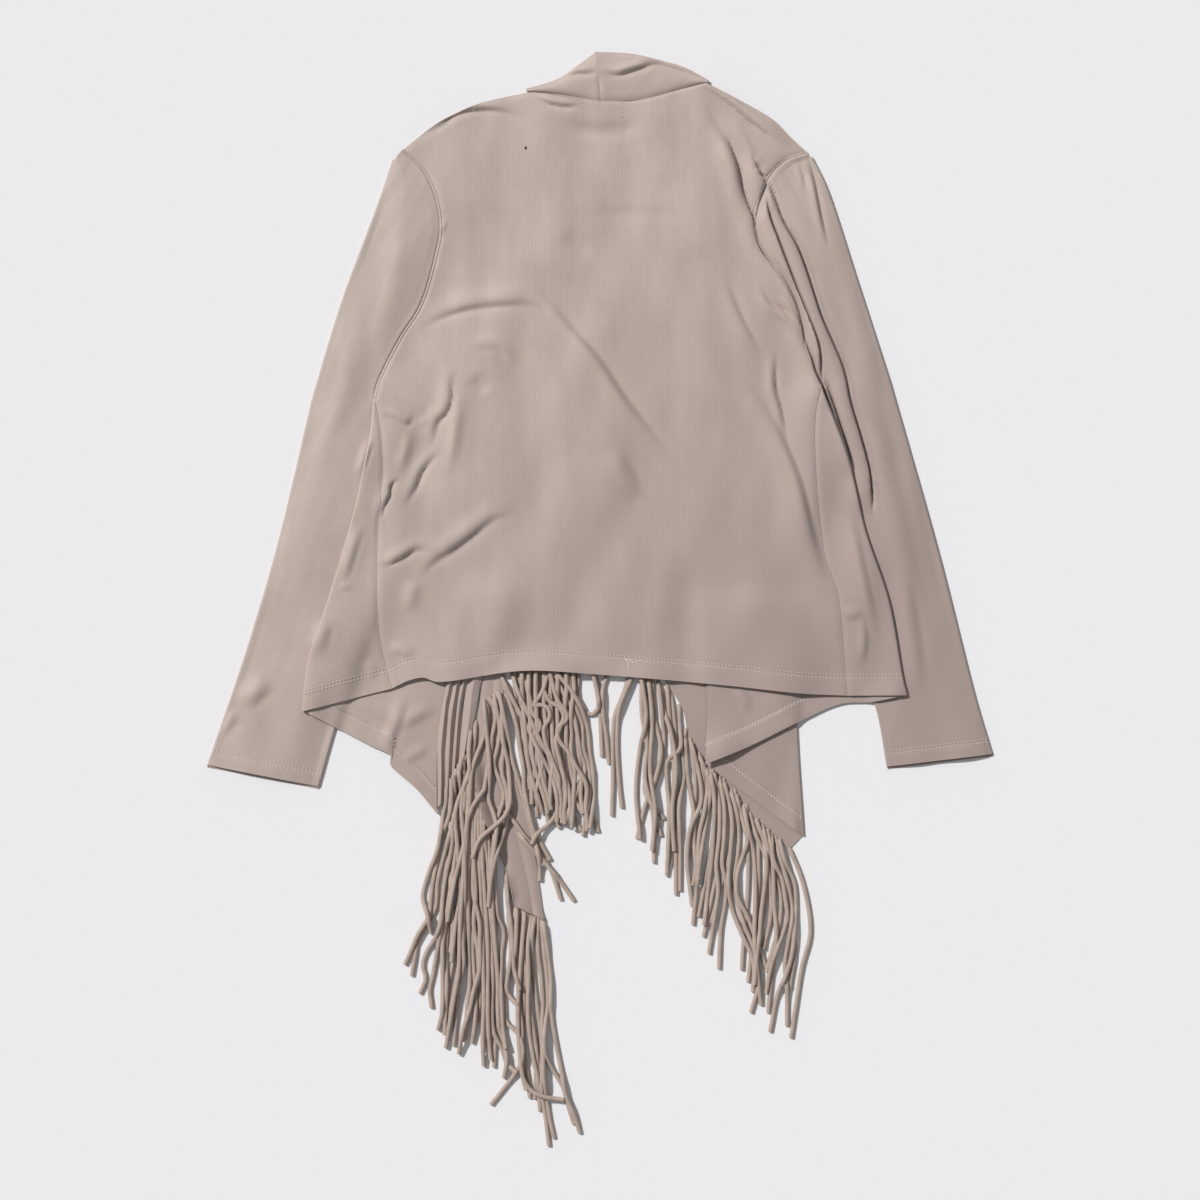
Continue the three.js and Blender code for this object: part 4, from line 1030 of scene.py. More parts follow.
CLOTH_EDGES = {
    "drape": drape_edge,
    "inner": bottom_of("inner"),
    "tail": bottom_of("tail"),
    "pleats": bottom_of("pleats"),
}
FRINGES = {
    "fringe_right_outer": dict(
        seed=135, count=9, edge="drape", span=(690, 780), bow=5, uneven=40, wave=6,
        ends=[(676, 880), (702, 925), (718, 955), (752, 990), (768, 1010), (780, 1005)],
        placed=[
            [(671, 692), (675, 728), (676, 767), (678, 806), (676, 844), (676, 894)],
            [(667, 684), (670, 723), (673, 750), (674, 781), (671, 825), (671, 864)],
            [(686, 728), (682, 750), (684, 774), (679, 806), (680, 840), (680, 890)],
            [(679, 704), (680, 728), (680, 748), (668, 759), (667, 781), (669, 806), (667, 875)],
            [(685, 738), (688, 777), (694, 815), (694, 840), (697, 881)],
            [(691, 742), (699, 774), (701, 801), (691, 825), (687, 854), (692, 905)],
            [(698, 752), (707, 777), (705, 806), (699, 835), (698, 878)],
            [(705, 764), (710, 786), (707, 815), (702, 844), (698, 874), (693, 924)],
            [(709, 767), (714, 796), (713, 835), (711, 864), (708, 888), (704, 924)],
            [(714, 772), (719, 801), (719, 835), (716, 864), (718, 888), (715, 912), (709, 953)],
            [(719, 776), (724, 806), (724, 835), (722, 864), (726, 883), (725, 903), (721, 927),
             (719, 968)],
            [(724, 782), (730, 806), (732, 825), (730, 854), (728, 881), (732, 908), (742, 934),
             (753, 960), (753, 991)],
            [(730, 788), (737, 813), (739, 835), (737, 859), (734, 878), (737, 900), (744, 924), (754, 949),
             (759, 978), (751, 1012)],
            [(736, 794), (744, 825), (747, 840), (743, 854), (737, 874), (737, 895), (747, 915),
             (756, 939), (768, 971)],
            [(743, 803), (747, 825), (753, 849), (755, 876), (755, 903), (754, 932), (756, 961),
             (761, 1004)],
            [(749, 811), (756, 835), (764, 852), (768, 871), (771, 893), (770, 920), (763, 948)],
            [(756, 819), (764, 842), (766, 864), (764, 888), (761, 912), (759, 934), (756, 958),
             (754, 983)],
            [(762, 824), (768, 849), (776, 876), (781, 900), (779, 924), (772, 951), (766, 971)],
            [(767, 829), (772, 854), (773, 876), (774, 903), (776, 932), (774, 956), (771, 983),
             (768, 1012)],
            [(771, 833), (773, 859), (781, 876), (785, 898), (787, 917), (783, 932), (776, 949),
             (770, 968), (766, 992)],
            [(775, 836), (779, 854), (785, 874), (790, 893), (792, 912), (789, 937), (785, 961),
             (787, 992), (787, 1025)],
            [(779, 839), (785, 861), (794, 881), (796, 903), (794, 932), (791, 956), (785, 975),
             (778, 992), (770, 1031)],
            [(789, 847), (801, 876), (809, 911), (810, 935), (802, 966), (796, 1004), (791, 1037)]]),
    "fringe_left_inner": dict(
        seed=132, limit=7.0, count=13, edge="inner", span=(514, 580), bow=-6, uneven=24, wave=7,
        ends=[(530, 812), (556, 826), (592, 836)],
        placed=[
            [(552, 667), (563, 691), (572, 709), (577, 730), (580, 749), (585, 768), (579, 786),
             (569, 809), (565, 824)],
            [(566, 667), (575, 704), (582, 722), (583, 746), (588, 762), (590, 786), (583, 835)],
            [(520, 667), (528, 691), (532, 704), (531, 722), (537, 739), (536, 762), (532, 786),
             (532, 803)]]),
    "fringe_left_tail": dict(
        seed=117,
        placed=[
            [(519, 906), (517, 928), (520, 949), (523, 971), (524, 1000), (523, 1026), (524, 1054),
             (528, 1076), (530, 1097)],
            [(523, 908), (521, 928), (523, 949), (526, 971), (528, 993), (529, 1017), (533, 1041),
             (536, 1069), (535, 1098)],
            [(528, 911), (526, 930), (528, 949), (528, 971), (529, 1000), (533, 1026), (537, 1054),
             (538, 1082)],
            [(516, 905), (513, 925), (516, 943), (518, 971), (519, 1000), (522, 1026), (522, 1054),
             (523, 1075), (526, 1089)],
            [(532, 913), (529, 934), (528, 949), (529, 975), (528, 1000), (529, 1026), (533, 1054),
             (538, 1078), (540, 1110)],
            [(535, 915), (532, 934), (532, 956), (535, 986), (538, 1012), (541, 1038), (541, 1063),
             (542, 1091),
             (546, 1119), (549, 1145)],
            [(538, 916), (538, 949), (541, 975), (543, 1000), (542, 1026), (543, 1052), (544, 1078),
             (547, 1100),
             (550, 1119), (554, 1137)],
            [(541, 918), (544, 949), (547, 975), (548, 1004), (545, 1026), (545, 1051), (552, 1067),
             (563, 1086),
             (568, 1104), (574, 1123)],
            [(543, 919), (548, 952), (551, 980), (551, 1008), (555, 1036), (561, 1067), (566, 1095),
             (574, 1113), (580, 1132)],
            [(517, 905), (516, 940), (514, 958), (509, 975), (504, 993), (504, 1012), (508, 1023),
             (518, 1032),
             (523, 1047), (521, 1062), (515, 1073), (491, 1104)],
            [(525, 909), (521, 960), (518, 1010), (520, 1050), (524, 1078), (533, 1090), (548, 1096),
             (564, 1098)]]),
    "fringe_left_under": dict(
        seed=127, count=8, roots=[(475, 764), (479, 792), (485, 815), (494, 836)], bow=4, uneven=30, wave=5,
        ends=[(444, 1020), (462, 1040), (478, 1050), (500, 1070)],
        placed=[
            [(478, 794), (479, 830), (480, 865), (481, 897), (483, 925), (483, 952), (484, 980),
             (484, 1008), (483, 1036), (484, 1065)],
            [(481, 802), (482, 835), (483, 865), (485, 893), (487, 925), (488, 952), (488, 980),
             (488, 1008), (489, 1036), (491, 1059)],
            [(483, 812), (485, 840), (488, 865), (490, 893), (491, 925), (492, 952), (493, 980),
             (492, 1008), (494, 1032),
             (502, 1047), (507, 1062), (517, 1071)],
            [(487, 822), (489, 843), (491, 868), (492, 895), (494, 925), (496, 952), (498, 980),
             (498, 1008), (500, 1030),
             (505, 1045), (507, 1060), (504, 1077)],
            [(493, 848), (494, 870), (496, 895), (498, 915), (504, 930), (502, 952), (501, 980),
             (502, 1004),
             (503, 1026), (506, 1047)],
            [(510, 890), (509, 905), (509, 921), (511, 940), (511, 958), (508, 975), (507, 988),
             (511, 997), (518, 1003)],
            [(506, 872), (508, 900), (512, 930), (513, 952), (515, 971), (520, 988)],
            [(476, 772), (473, 815), (474, 860), (476, 893), (474, 921), (477, 943), (480, 964),
             (478, 980), (470, 1000),
             (467, 1021), (465, 1039)],
            [(475, 762), (469, 810), (468, 860), (468, 897), (469, 925), (469, 952), (470, 980),
             (468, 1000), (466, 1026), (463, 1040)],
            [(477, 784), (476, 825), (474, 862), (474, 893), (480, 921), (480, 943), (480, 967),
             (474, 989), (470, 1008),
             (463, 1030), (459, 1053)]]),
    "fringe_left_pleats": dict(
        seed=131, limit=12.0,
        placed=[
            [(469, 744), (468, 810), (465, 860), (460, 897), (457, 915), (454, 934), (455, 963)],
            [(466, 750), (461, 790), (463, 820), (458, 860), (451, 897), (448, 925), (446, 952), (447, 980),
             (446, 1008), (445, 1034)],
            [(463, 756), (465, 800), (459, 835), (451, 870), (452, 900), (453, 930), (451, 951)],
            [(462, 758), (455, 800), (457, 835), (455, 860), (446, 921), (443, 943), (443, 971), (443, 999),
             (442, 1015), (438, 1029)],
            [(459, 764), (460, 805), (452, 835), (447, 862), (444, 897), (442, 925), (437, 952), (433, 975),
             (430, 988), (432, 1007)],
            [(457, 768), (450, 808), (453, 840), (446, 875), (443, 897), (441, 921), (435, 938), (428, 949),
             (423, 964), (426, 978), (420, 993)],
            [(454, 774), (455, 812), (447, 845), (438, 880), (436, 906), (428, 923), (418, 941),
             (415, 958), (412, 975)],
            [(452, 777), (451, 809), (445, 829), (440, 846), (433, 882), (431, 897), (429, 915), (418, 934),
             (411, 951), (405, 964)],
            [(447, 786), (446, 803), (443, 816), (441, 833), (437, 851), (428, 875), (423, 897),
             (428, 914), (431, 932)]]),
    "fringe_left_upper": dict(
        seed=124, limit=12.0,
        placed=[
            [(498, 806), (511, 817), (526, 837), (539, 851), (550, 867), (561, 899)],
            [(518, 832), (534, 850), (547, 864), (560, 880), (574, 900)],
            [(476, 720), (474, 745), (468, 775), (456, 810), (458, 845), (460, 890), (455, 930),
             (452, 960)],
            [(471, 730), (469, 752), (470, 771), (464, 787), (462, 809), (464, 833), (465, 857), (465, 897),
             (463, 938), (464, 962), (459, 986), (457, 1008), (454, 1045)],
            [(484, 699), (488, 710), (486, 723), (483, 739), (477, 754), (472, 770), (470, 800), (465, 840),
             (455, 880), (448, 920)],
            [(489, 696), (494, 704), (496, 717), (492, 736), (491, 752), (487, 771), (484, 790), (475, 801),
             (468, 819), (465, 840), (464, 873), (461, 915), (460, 943), (459, 971), (455, 993),
             (446, 1047)],
            [(494, 694), (500, 730), (497, 750), (494, 762), (499, 778), (504, 794), (496, 825),
             (492, 870)],
            [(484, 700), (486, 722), (490, 770), (489, 798), (494, 813), (497, 825), (496, 837),
             (490, 880)],
            [(499, 693), (505, 714), (505, 730), (504, 746), (502, 771), (507, 790), (507, 819), (502, 838),
             (496, 856), (491, 880), (489, 905)],
            [(497, 692), (502, 704), (502, 722), (503, 739), (508, 762), (510, 787), (510, 803), (504, 816),
             (492, 827), (480, 838), (473, 856)],
            [(499, 692), (504, 714), (509, 739), (512, 758), (518, 778), (523, 797), (528, 817),
             (539, 856), (540, 865), (540, 880)],
            [(503, 676), (509, 700), (516, 722), (521, 752), (524, 771), (524, 786), (526, 797),
             (534, 830), (540, 841), (550, 859)],
            [(502, 677), (515, 703), (528, 727), (540, 752), (550, 771), (556, 790), (557, 811), (548, 824),
             (537, 833), (532, 843)]]),
    "fringe_inner_upper": dict(
        seed=134, count=8, roots=[(522, 669), (545, 668), (572, 669)], bow=-6, uneven=24, wave=7,
        ends=[(536, 814), (560, 822), (584, 830)],
        placed=[
            [(512, 672), (518, 691), (528, 712), (540, 739), (553, 762), (559, 778), (558, 794),
             (557, 821)],
            [(526, 680), (531, 703), (532, 711), (536, 717), (540, 722), (539, 730), (534, 733),
             (540, 746), (542, 765),
             (536, 790)],
            [(548, 672), (542, 692), (532, 706), (539, 704), (548, 707), (550, 717), (544, 727),
             (547, 746), (553, 762),
             (551, 778), (550, 803)],
            [(544, 690), (550, 701), (559, 706), (564, 715), (561, 725), (556, 740), (560, 760),
             (566, 790), (562, 822)],
            [(550, 672), (558, 700), (566, 711), (567, 719), (558, 727), (559, 739), (569, 752), (575, 770),
             (574, 786), (572, 827)],
            [(553, 668), (572, 691), (582, 709), (588, 730), (590, 752), (593, 771), (594, 794),
             (590, 827)]]),
    "fringe_centre": dict(
        seed=96,
        placed=[[(593, 668), (599, 689), (600, 706), (601, 729), (602, 756)],
                [(611, 668), (603, 688), (603, 710), (606, 733), (609, 763)],
                [(632, 668), (622, 697), (615, 715), (613, 736), (613, 780), (612, 815)],
                [(634, 672), (620, 706), (617, 736), (619, 780), (622, 807)],
                [(576, 698), (583, 709), (591, 714), (598, 708), (598, 696), (593, 672)]]),
    "fringe_right_upper": dict(
        seed=131,
        placed=[
            [(661, 684), (664, 709), (671, 733), (676, 767), (672, 810), (674, 850)],
            [(658, 680), (661, 706), (664, 743), (659, 772), (652, 796), (654, 825), (654, 862)],
            [(652, 676), (654, 714), (661, 750), (655, 779), (645, 806), (637, 838)],
            [(646, 674), (645, 714), (650, 743), (647, 772), (645, 791), (654, 806), (664, 818)],
            [(642, 672), (642, 714), (647, 743), (645, 779), (654, 811), (661, 835)],
            [(640, 670), (646, 716), (640, 748), (636, 790), (640, 838)],
            [(648, 674), (652, 720), (650, 770), (655, 810), (652, 850)]]),
}


# %% Planned cords
END_SCATTER = 2.5
SHORT_CORDS = 1.8
LOCK_SIZES = (2, 6)
LOCK_DRIFT = 4
LOCK_PULL = 0.8
LOCK_SPACING = 4.3
LOCK_BOWS = (0.1, 1.8)
LOCK_WAVES = (0.2, 1.1)
LOCK_TURNS = (0.4, 1.3)
ANY_PHASE = (0, 6.3)
OWN_BOW = (0.9, 1.1)
OWN_WAVE = (0.8, 1.2)
OWN_TURNS = (0.95, 1.05)
OWN_PHASE = (-0.2, 0.2)
THICKNESSES = (0.86, 1.1)
SWELLING = 0.06
SWELLING_TURNS = (6, 18)


def planned_cords(row, luck):
    """Cords from evenly spread roots to uneven ends. They hang in locks that share one sway."""
    count = row["count"]
    if "edge" in row:
        roots = at_across(CLOTH_EDGES[row["edge"]], np.linspace(*row["span"], count) - MIDDLE_ACROSS)
    else:
        roots = trace(row["roots"], count - 1)
    roots = roots + [0, ROOT_INSIDE]
    ends = trace(row["ends"], count - 1)
    ends = ends + np.column_stack([luck.normal(0, END_SCATTER, count),
                                   row["uneven"] * luck.random(count) ** SHORT_CORDS])
    routes = []
    while len(routes) < count:
        first = len(routes)
        lock = range(first, min(count, first + luck.integers(*LOCK_SIZES)))
        middle = ends[list(lock), 0].mean() + luck.normal(0, LOCK_DRIFT)
        bow = row["bow"] * luck.uniform(*LOCK_BOWS)
        wave = row["wave"] * luck.uniform(*LOCK_WAVES)
        turns = luck.uniform(*LOCK_TURNS)
        phase = luck.uniform(*ANY_PHASE)
        for place, k in enumerate(lock):
            own_place = middle + (place - (len(lock) - 1) / 2) * LOCK_SPACING
            ends[k, 0] += LOCK_PULL * (own_place - ends[k, 0])
            routes.append(cord_line(roots[k], ends[k], bow * luck.uniform(*OWN_BOW),
                                    wave * luck.uniform(*OWN_WAVE), turns * luck.uniform(*OWN_TURNS),
                                    phase + luck.uniform(*OWN_PHASE)))
    return [routes[k] for k in luck.permutation(count)]


def fringe(name):
    """Lays all cords of one fringe and sweeps them into one piece."""
    row = FRINGES[name]
    luck = np.random.default_rng(row["seed"])
    routes = planned_cords(row, luck) if "count" in row else []
    routes += [trace(places, CORD_PLACES) for places in row["placed"]]
    lines = []
    radii = []
    for route in routes:
        lines.append(laid_cord(route, row.get("limit", CORD_LIMIT)))
        radius = np.full(len(route), luck.uniform(*THICKNESSES))
        swelling = np.linspace(0, luck.uniform(*SWELLING_TURNS), len(route)) + luck.uniform(*ANY_PHASE)
        radius *= 1 + SWELLING * np.sin(swelling)
        radius *= ROOT_THINNESS + (1 - ROOT_THINNESS) * out_of_root(route)
        radii.append(radius)
    paths = poly_curve(f"{name}_paths", lines, radii)
    return plain_mesh(f"{name}_cords", paths, sweep_tree, Width=CORD_WIDTH / 1000, Flatness=CORD_FLATNESS,
                      Finish=cord_finish)


# %% [markdown]
# ## Jersey
#
# The cloth is a fine viscose jersey, knitted and piece dyed. To the eye it is matt with a slight
# silky sheen, and faint bands run down the grain where the yarn varies. Wales are about 0.7 mm
# apart, too fine to show here, so they are drawn at 1.8 mm. The pattern follows each piece's own
# threads through its UV map. Painted shade darkens the colour a little towards the lower right,
# where the light falls off. The cords are strips of the same jersey, a little duller.

# %% Jersey and cord finishes
WALE_PITCH = 1.8
WAVES_PER_METRE = 1000 / WALE_PITCH / math.pi
BAND_SCALE = (60, 14, 1)
TINT_RANGE = (1.1, 1.9)
# Painted shade: across this slant of the plan the colour darkens towards the lower right.
SHADE_FALLOFF_RANGE = (-0.35, 0.25)
KNIT_DEPTH = 0.0004


def from_range(tree, value, low, high):
    """A socket's value as a share of a range."""
    made = add_node(tree, "ShaderNodeMapRange", {"Value": value})
    made.inputs["From Min"].default_value = low
    made.inputs["From Max"].default_value = high
    return made.outputs[0]


def jersey(name, light, dark, deep):
    finish, shader = new_finish(name, Roughness=0.62, Specular_IOR_Level=0.32, Sheen_Weight=0.18,
                                Sheen_Roughness=0.45)
    tree = finish.node_tree
    threads = add_node(tree, "ShaderNodeUVMap", uv_map="threads").outputs[0]
    stretched = add_node(tree, "ShaderNodeMapping", {"Vector": threads}, Scale=BAND_SCALE).outputs[0]
    bands = add_node(tree, "ShaderNodeTexNoise", {"Vector": stretched}, Scale=1.0, Detail=3.0, Roughness=0.6)
    clouds = add_node(tree, "ShaderNodeTexNoise", {"Vector": threads}, Scale=14.0, Detail=4.0, Roughness=0.6)
    grain = add_node(tree, "ShaderNodeTexNoise", {"Vector": threads}, Scale=900.0, Detail=2.0)
    mottle = calculate(tree, "ADD", bands.outputs["Fac"], clouds.outputs["Fac"])
    mottle = calculate(tree, "ADD", mottle, grain.outputs["Fac"])
    tint = mixed_colour(tree, from_range(tree, mottle, *TINT_RANGE), dark, light)
    # Painted shade: the colour is mixed towards the deep colour towards the lower right, where the light
    # falls off.
    place = add_node(tree, "ShaderNodeTexCoord")
    parts = add_node(tree, "ShaderNodeSeparateXYZ", {"Vector": place.outputs["Object"]})
    slant = calculate(tree, "SUBTRACT", parts.outputs["X"], parts.outputs["Y"])
    painted_falloff = mixed_colour(tree, from_range(tree, slant, *SHADE_FALLOFF_RANGE), tint, deep)
    tree.links.new(painted_falloff, shader.inputs["Base Color"])
    ribs = add_node(tree, "ShaderNodeTexWave", {"Vector": threads}, wave_type="BANDS", bands_direction="X",
                    Scale=WAVES_PER_METRE, Distortion=1.2, Detail=1.0)
    fuzz = calculate(tree, "ADD", ribs.outputs["Fac"], grain.outputs["Fac"])
    relief = add_node(tree, "ShaderNodeBump", {"Height": fuzz}, Strength=0.16, Distance=KNIT_DEPTH)
    tree.links.new(relief.outputs[0], shader.inputs["Normal"])
    return finish


def mottled(tree, shader, scale, detail, low, high):
    """Paints a shader with a fine noise between two colours, and gives the place that feeds it."""
    place = add_node(tree, "ShaderNodeTexCoord").outputs["Object"]
    noise = add_node(tree, "ShaderNodeTexNoise", {"Vector": place}, Scale=scale, Detail=detail)
    tree.links.new(mixed_colour(tree, noise.outputs["Fac"], low, high), shader.inputs["Base Color"])
    return place


def cord_material():
    """Rolled strips of the same jersey: matt, with a faint mottle."""
    finish, shader = new_finish("rolled_jersey_cord", Roughness=0.72, Specular_IOR_Level=0.3,
                                Sheen_Weight=0.15)
    tree = finish.node_tree
    place = mottled(tree, shader, 120.0, 3.0, "#9F8E83", "#BBAAA0")
    fuzz = add_node(tree, "ShaderNodeTexNoise", {"Vector": place}, Scale=700.0)
    relief = add_node(tree, "ShaderNodeBump", {"Height": fuzz.outputs["Fac"]}, Strength=0.15,
                      Distance=KNIT_DEPTH)
    tree.links.new(relief.outputs[0], shader.inputs["Normal"])
    return finish


# The third colour is painted shade, used towards the lower right.
jersey_finish = jersey("viscose_jersey_taupe", "#C0B1A9", "#AE9F97", "#A3938D")
cord_finish = cord_material()
made_fringes = {"fringe_right_outer": fringe("fringe_right_outer")}

# %% [markdown]
# ## Fronts, lower layers
#
# The left front is laid first, then its inner panel, gathered tail and pleats with their cords,
# and last the lower layer of the right front. Their upper strips follow when all of that lies.

# %% Left front and right front, lower layers
SEAM_LIP = 2.0
STRIP_LIFT = 2.0
STRIP_DROP = 1.3
STRIP_DROP_REACH = 30.0
STRIP_SLACK = 0.7
STRIP_LEAST = -2.0
LOOSE_SLACK = 0.6
LOOSE_LEAST = -0.3
HEM_SHOWS_BELOW = -80
HEM_SHOWS_SOFTLY = 6
MOUTH = on_plan([(722, 750)])[0]
MOUTH_WIDTH = 24.0
MOUTH_HEIGHT = 4.5

seams = {
    "left": chain(armholes["left"] - SEAM_LIP * to_right(armholes["left"]), side_seams["left"]),
    "right": chain(armholes["right"] + SEAM_LIP * to_right(armholes["right"]), side_seams["right"]),
}


def front_upper_relief(flat):
    lift = STRIP_LIFT - STRIP_DROP * bell(to_edge(flat, "bottom"), STRIP_DROP_REACH)
    relief = crease_height(flat, UPPER_CREASES) + STRIP_SLACK * slack(flat)
    return np.maximum(relief, STRIP_LEAST) + lift - seam_dip(flat, "right")


def front_lower_relief(flat):
    """The loose hem that shows under the back. The right front gapes over its drape at the mouth."""
    shown = step_down(flat[..., 1], HEM_SHOWS_BELOW, HEM_SHOWS_SOFTLY)
    crease = np.maximum(crease_height(flat, LOWER_CREASES), LOOSE_LEAST)
    mouth = MOUTH_HEIGHT * bell(np.linalg.norm(flat - MOUTH, axis=-1), MOUTH_WIDTH)
    relief = (crease + LOOSE_LIFT + LOOSE_SLACK * slack(flat) + hem_relief(flat, groove=0.0)
              + hem_lip(flat) + mouth)
    return shown * relief * np.clip(to_edge(flat, "right") / EDGE_SETTLE, 0, 1)


def front(side):
    """Lays the lower layer of one front and returns the function that makes the whole piece."""
    shoulder = trace(LINES[f"{side}_shoulder"], STEPS["under"])
    if side == "left":
        shoulder = shoulder[::-1]
    edge = trace(LINES[f"{side}_front_edge"], STEPS["armhole"] + STEPS["side"])
    fold = chain(armholes[side], trace(LINES[f"{side}_side_fold"], STEPS["side"]))
    hem = trace(LINES[f"{side}_front_hem"], STEPS["under"])
    return doubled(f"front_cloth_{side}", edge, fold, seams[side], shoulder, hem, outwards(fold, edge),
                   front_upper_relief, front_lower_relief)


def laid(flat, relief, gap=LAY_GAP, reach=3, softness=3, least=0.0):
    """A grid that rests on the pile and adds its own relief."""
    height = resting(flat, reach, softness) + gap + CLOTH / 2
    return with_height(flat, height + np.maximum(relief, least))


def panel(name, grid, holes=()):
    """A single layer of cloth, with its threads along its own two directions."""
    cover(grid)
    return wall_object(name, grid, grid[..., :2].copy(), holes=holes)


INNER_ACROSS = 36
INNER_DOWN = 110
INNER_SLACK = 0.3
INNER_LIFT = 0.3

finish_left = front("left")
inner_sides = [trace(LINES[f"inner_{side}"], INNER_DOWN) for side in ("left", "right")]
inner_bottom = CLOTH_EDGES["inner"][np.linspace(0, EDGE_STEPS, INNER_ACROSS + 1).astype(int)]
inner_flat = patch(straight(inner_sides[0][0], inner_sides[1][0], INNER_ACROSS), inner_bottom, *inner_sides)
inner_panel = panel("front_inner_left", laid(inner_flat, INNER_SLACK * slack(inner_flat) + INNER_LIFT))
for name in ("fringe_left_inner", "fringe_left_tail", "fringe_left_under"):
    made_fringes[name] = fringe(name)

# %% [markdown]
# ## Gathered tail and pleats
#
# Below the hem the left front hangs in narrow upright folds. Each row of these pieces has the
# same number of waves, and the waves stand closer as the piece narrows.

# %% Gathered tail and pleats
GATHER_DOWN = 110
GATHER_ACROSS = 60
GATHER_SHARPNESS = 0.75
GATHER_DRIFT = 0.5
GATHER_DRIFT_RATE = 5
GATHER_AT_TOP = 0.4


def gathered(name, piece, valleys, height, lean):
    """A narrow piece in upright folds. The valleys are shares of its width."""
    left, right = [trace(LINES[f"{piece}_{side}"], GATHER_DOWN) for side in ("left", "right")]
    top = straight(left[0], right[0], GATHER_ACROSS)
    flat = patch(top, evenly(CLOTH_EDGES[piece], GATHER_ACROSS), left, right)
    u = np.linspace(0, 1, GATHER_ACROSS + 1)[None]
    v = np.linspace(0, 1, GATHER_DOWN + 1)[:, None]
    angle = 2 * np.pi * np.interp(u, valleys, range(len(valleys)))
    angle = angle + GATHER_DRIFT * np.sin(v * GATHER_DRIFT_RATE)
    wave = np.abs(np.sin(angle / 2)) ** GATHER_SHARPNESS
    growth = np.minimum(1, GATHER_AT_TOP + v)
    flat[..., 0] = flat[..., 0] + lean * np.sin(angle) * growth
    grid = with_height(flat, resting(flat) + LAY_GAP + CLOTH / 2)
    grid[..., 2] += height * wave * growth
    cover(grid)
    return wall_object(name, grid, np.stack([run_across(grid), grid[..., 1]], axis=-1))


tail = gathered("front_tail_left", "tail", valleys=(0, 0.6, 1), height=1.2, lean=0.4)
pleats = gathered("front_pleats_left", "pleats", valleys=(0, 0.21, 0.41, 0.58, 1), height=4.6, lean=1.4)
for name in ("fringe_left_pleats", "fringe_left_upper", "fringe_centre", "fringe_inner_upper",
             "fringe_right_upper"):
    made_fringes[name] = fringe(name)
finish_right = front("right")

# %% [markdown]
# ## Collar and back
#
# The shawl collar rolls over at the top of the neck, in two halves with a seam at the middle.
# The back is one wide panel. It goes on last, over everything else.

# %% Collar
COLLAR_CREASES = [
    ("fold", 5, 3.4, [(596, 71), (609, 74.5), (619, 75.5), (628, 73), (637, 70), (650, 66), (668, 63)]),
    ("fold", 4, 2.0, [(562, 77), (577, 74), (588, 74), (600, 73)]),
    ("fold", 4, 2.0, [(644, 61), (662, 65), (680, 71), (700, 80)]),
    ("roll", 3, 1.8, [(615, 59), (635, 61), (654, 62)]),
]
STAND_HEIGHT = 2.6
STAND_ROUNDNESS = 0.7
COLLAR_LIFT = 0.6
COLLAR_LEAST = -2.2
NECK_DIP = 0.8
CENTRE_DIP = 1.0
CENTRE_WIDTH = 1.8
CENTRE_SHOWS_FROM = 0.4
CENTRE_SHOWS_RATE = 5
CENTRE_GAP = 0.06


def both_halves(left, right):
    """A line round the back of the neck, from its left half and its right half."""
    return chain(trace(LINES[left], STEPS["left_neck"]), trace(LINES[right], STEPS["right_neck"]))


neck = both_halves("left_neck", "right_neck")


def collar_relief(centre):
    """The stand of one collar half. Its middle seam shows on the lower part only."""
    def relief(flat):
        depth = np.linspace(0, 1, flat.shape[1])[None]
        stand = STAND_HEIGHT * np.clip(np.sin(np.pi * depth), 0, 1) ** STAND_ROUNDNESS
        shows = np.clip((depth - CENTRE_SHOWS_FROM) * CENTRE_SHOWS_RATE, 0, 1)
        sewn = CENTRE_DIP * bell(to_edge(flat, centre), CENTRE_WIDTH) * shows
        creases = np.maximum(crease_height(flat, COLLAR_CREASES), COLLAR_LEAST)
        return stand + COLLAR_LIFT - sewn - seam_dip(flat, "right", depth=NECK_DIP) + creases
    return relief


def collar(side, half, aside, centre):
    """Lays one half of the collar. Its share of the neck's steps is half, and centre is its middle edge."""
    roll = both_halves("collar_left_roll", "collar_right_roll")
    facing = both_halves("collar_left_facing", "collar_right_facing")
    inner, fold, seam = [line[half] + [aside, 0] for line in (facing, roll, neck)]
    return doubled(f"collar_cloth_{side}", inner, fold, seam, straight(inner[0], fold[0], STEPS["strip"]),
                   straight(inner[-1], fold[-1], STEPS["strip"]), outwards(roll, facing)[half],
                   collar_relief(centre))


finish_collar_left = collar("left", slice(0, STEPS["left_neck"] + 1), -CENTRE_GAP, "bottom")
finish_collar_right = collar("right", slice(STEPS["left_neck"], None), CENTRE_GAP, "top")
collar_left, _, _ = finish_collar_left()
collar_right, _, _ = finish_collar_right()

# %% Back
BACK_GAP = 2.0
BACK_SOFTNESS = 8
BACK_LIFT = 0.6
BACK_LEAST = -2.6
PINHOLE = on_plan([(524, 147)])[0]

back_top = chain(trace(LINES["left_shoulder"], STEPS["shoulder"]), neck,
                 trace(LINES["right_shoulder"], STEPS["shoulder"]))
back_top = back_top + SEAM_GAP * to_right(back_top)
back_left = seams["left"] - SEAM_GAP * to_right(seams["left"])
back_right = seams["right"] + SEAM_GAP * to_right(seams["right"])
back_hem = trace(LINES["back_hem"], len(back_top) - 1)
back_top[0] = back_left[0]
back_top[-1] = back_right[0]
back_hem[0] = back_left[-1]
back_hem[-1] = back_right[-1]
back_flat = drawn_in(patch(back_top, back_hem, back_left, back_right))
back_relief = (crease_height(back_flat, UPPER_CREASES) + slack(back_flat) + BACK_LIFT + hem_relief(back_flat)
               - seam_dip(back_flat, "top", "left", "right"))
back_grid = laid(back_flat, back_relief, gap=BACK_GAP, reach=BACK_SOFTNESS, softness=BACK_SOFTNESS,
                 least=BACK_LEAST)
front_left, front_left_under, front_left_over = finish_left(back_grid[:, 0, 2])
front_right, front_right_under, front_right_over = finish_right(back_grid[:, -1, 2])
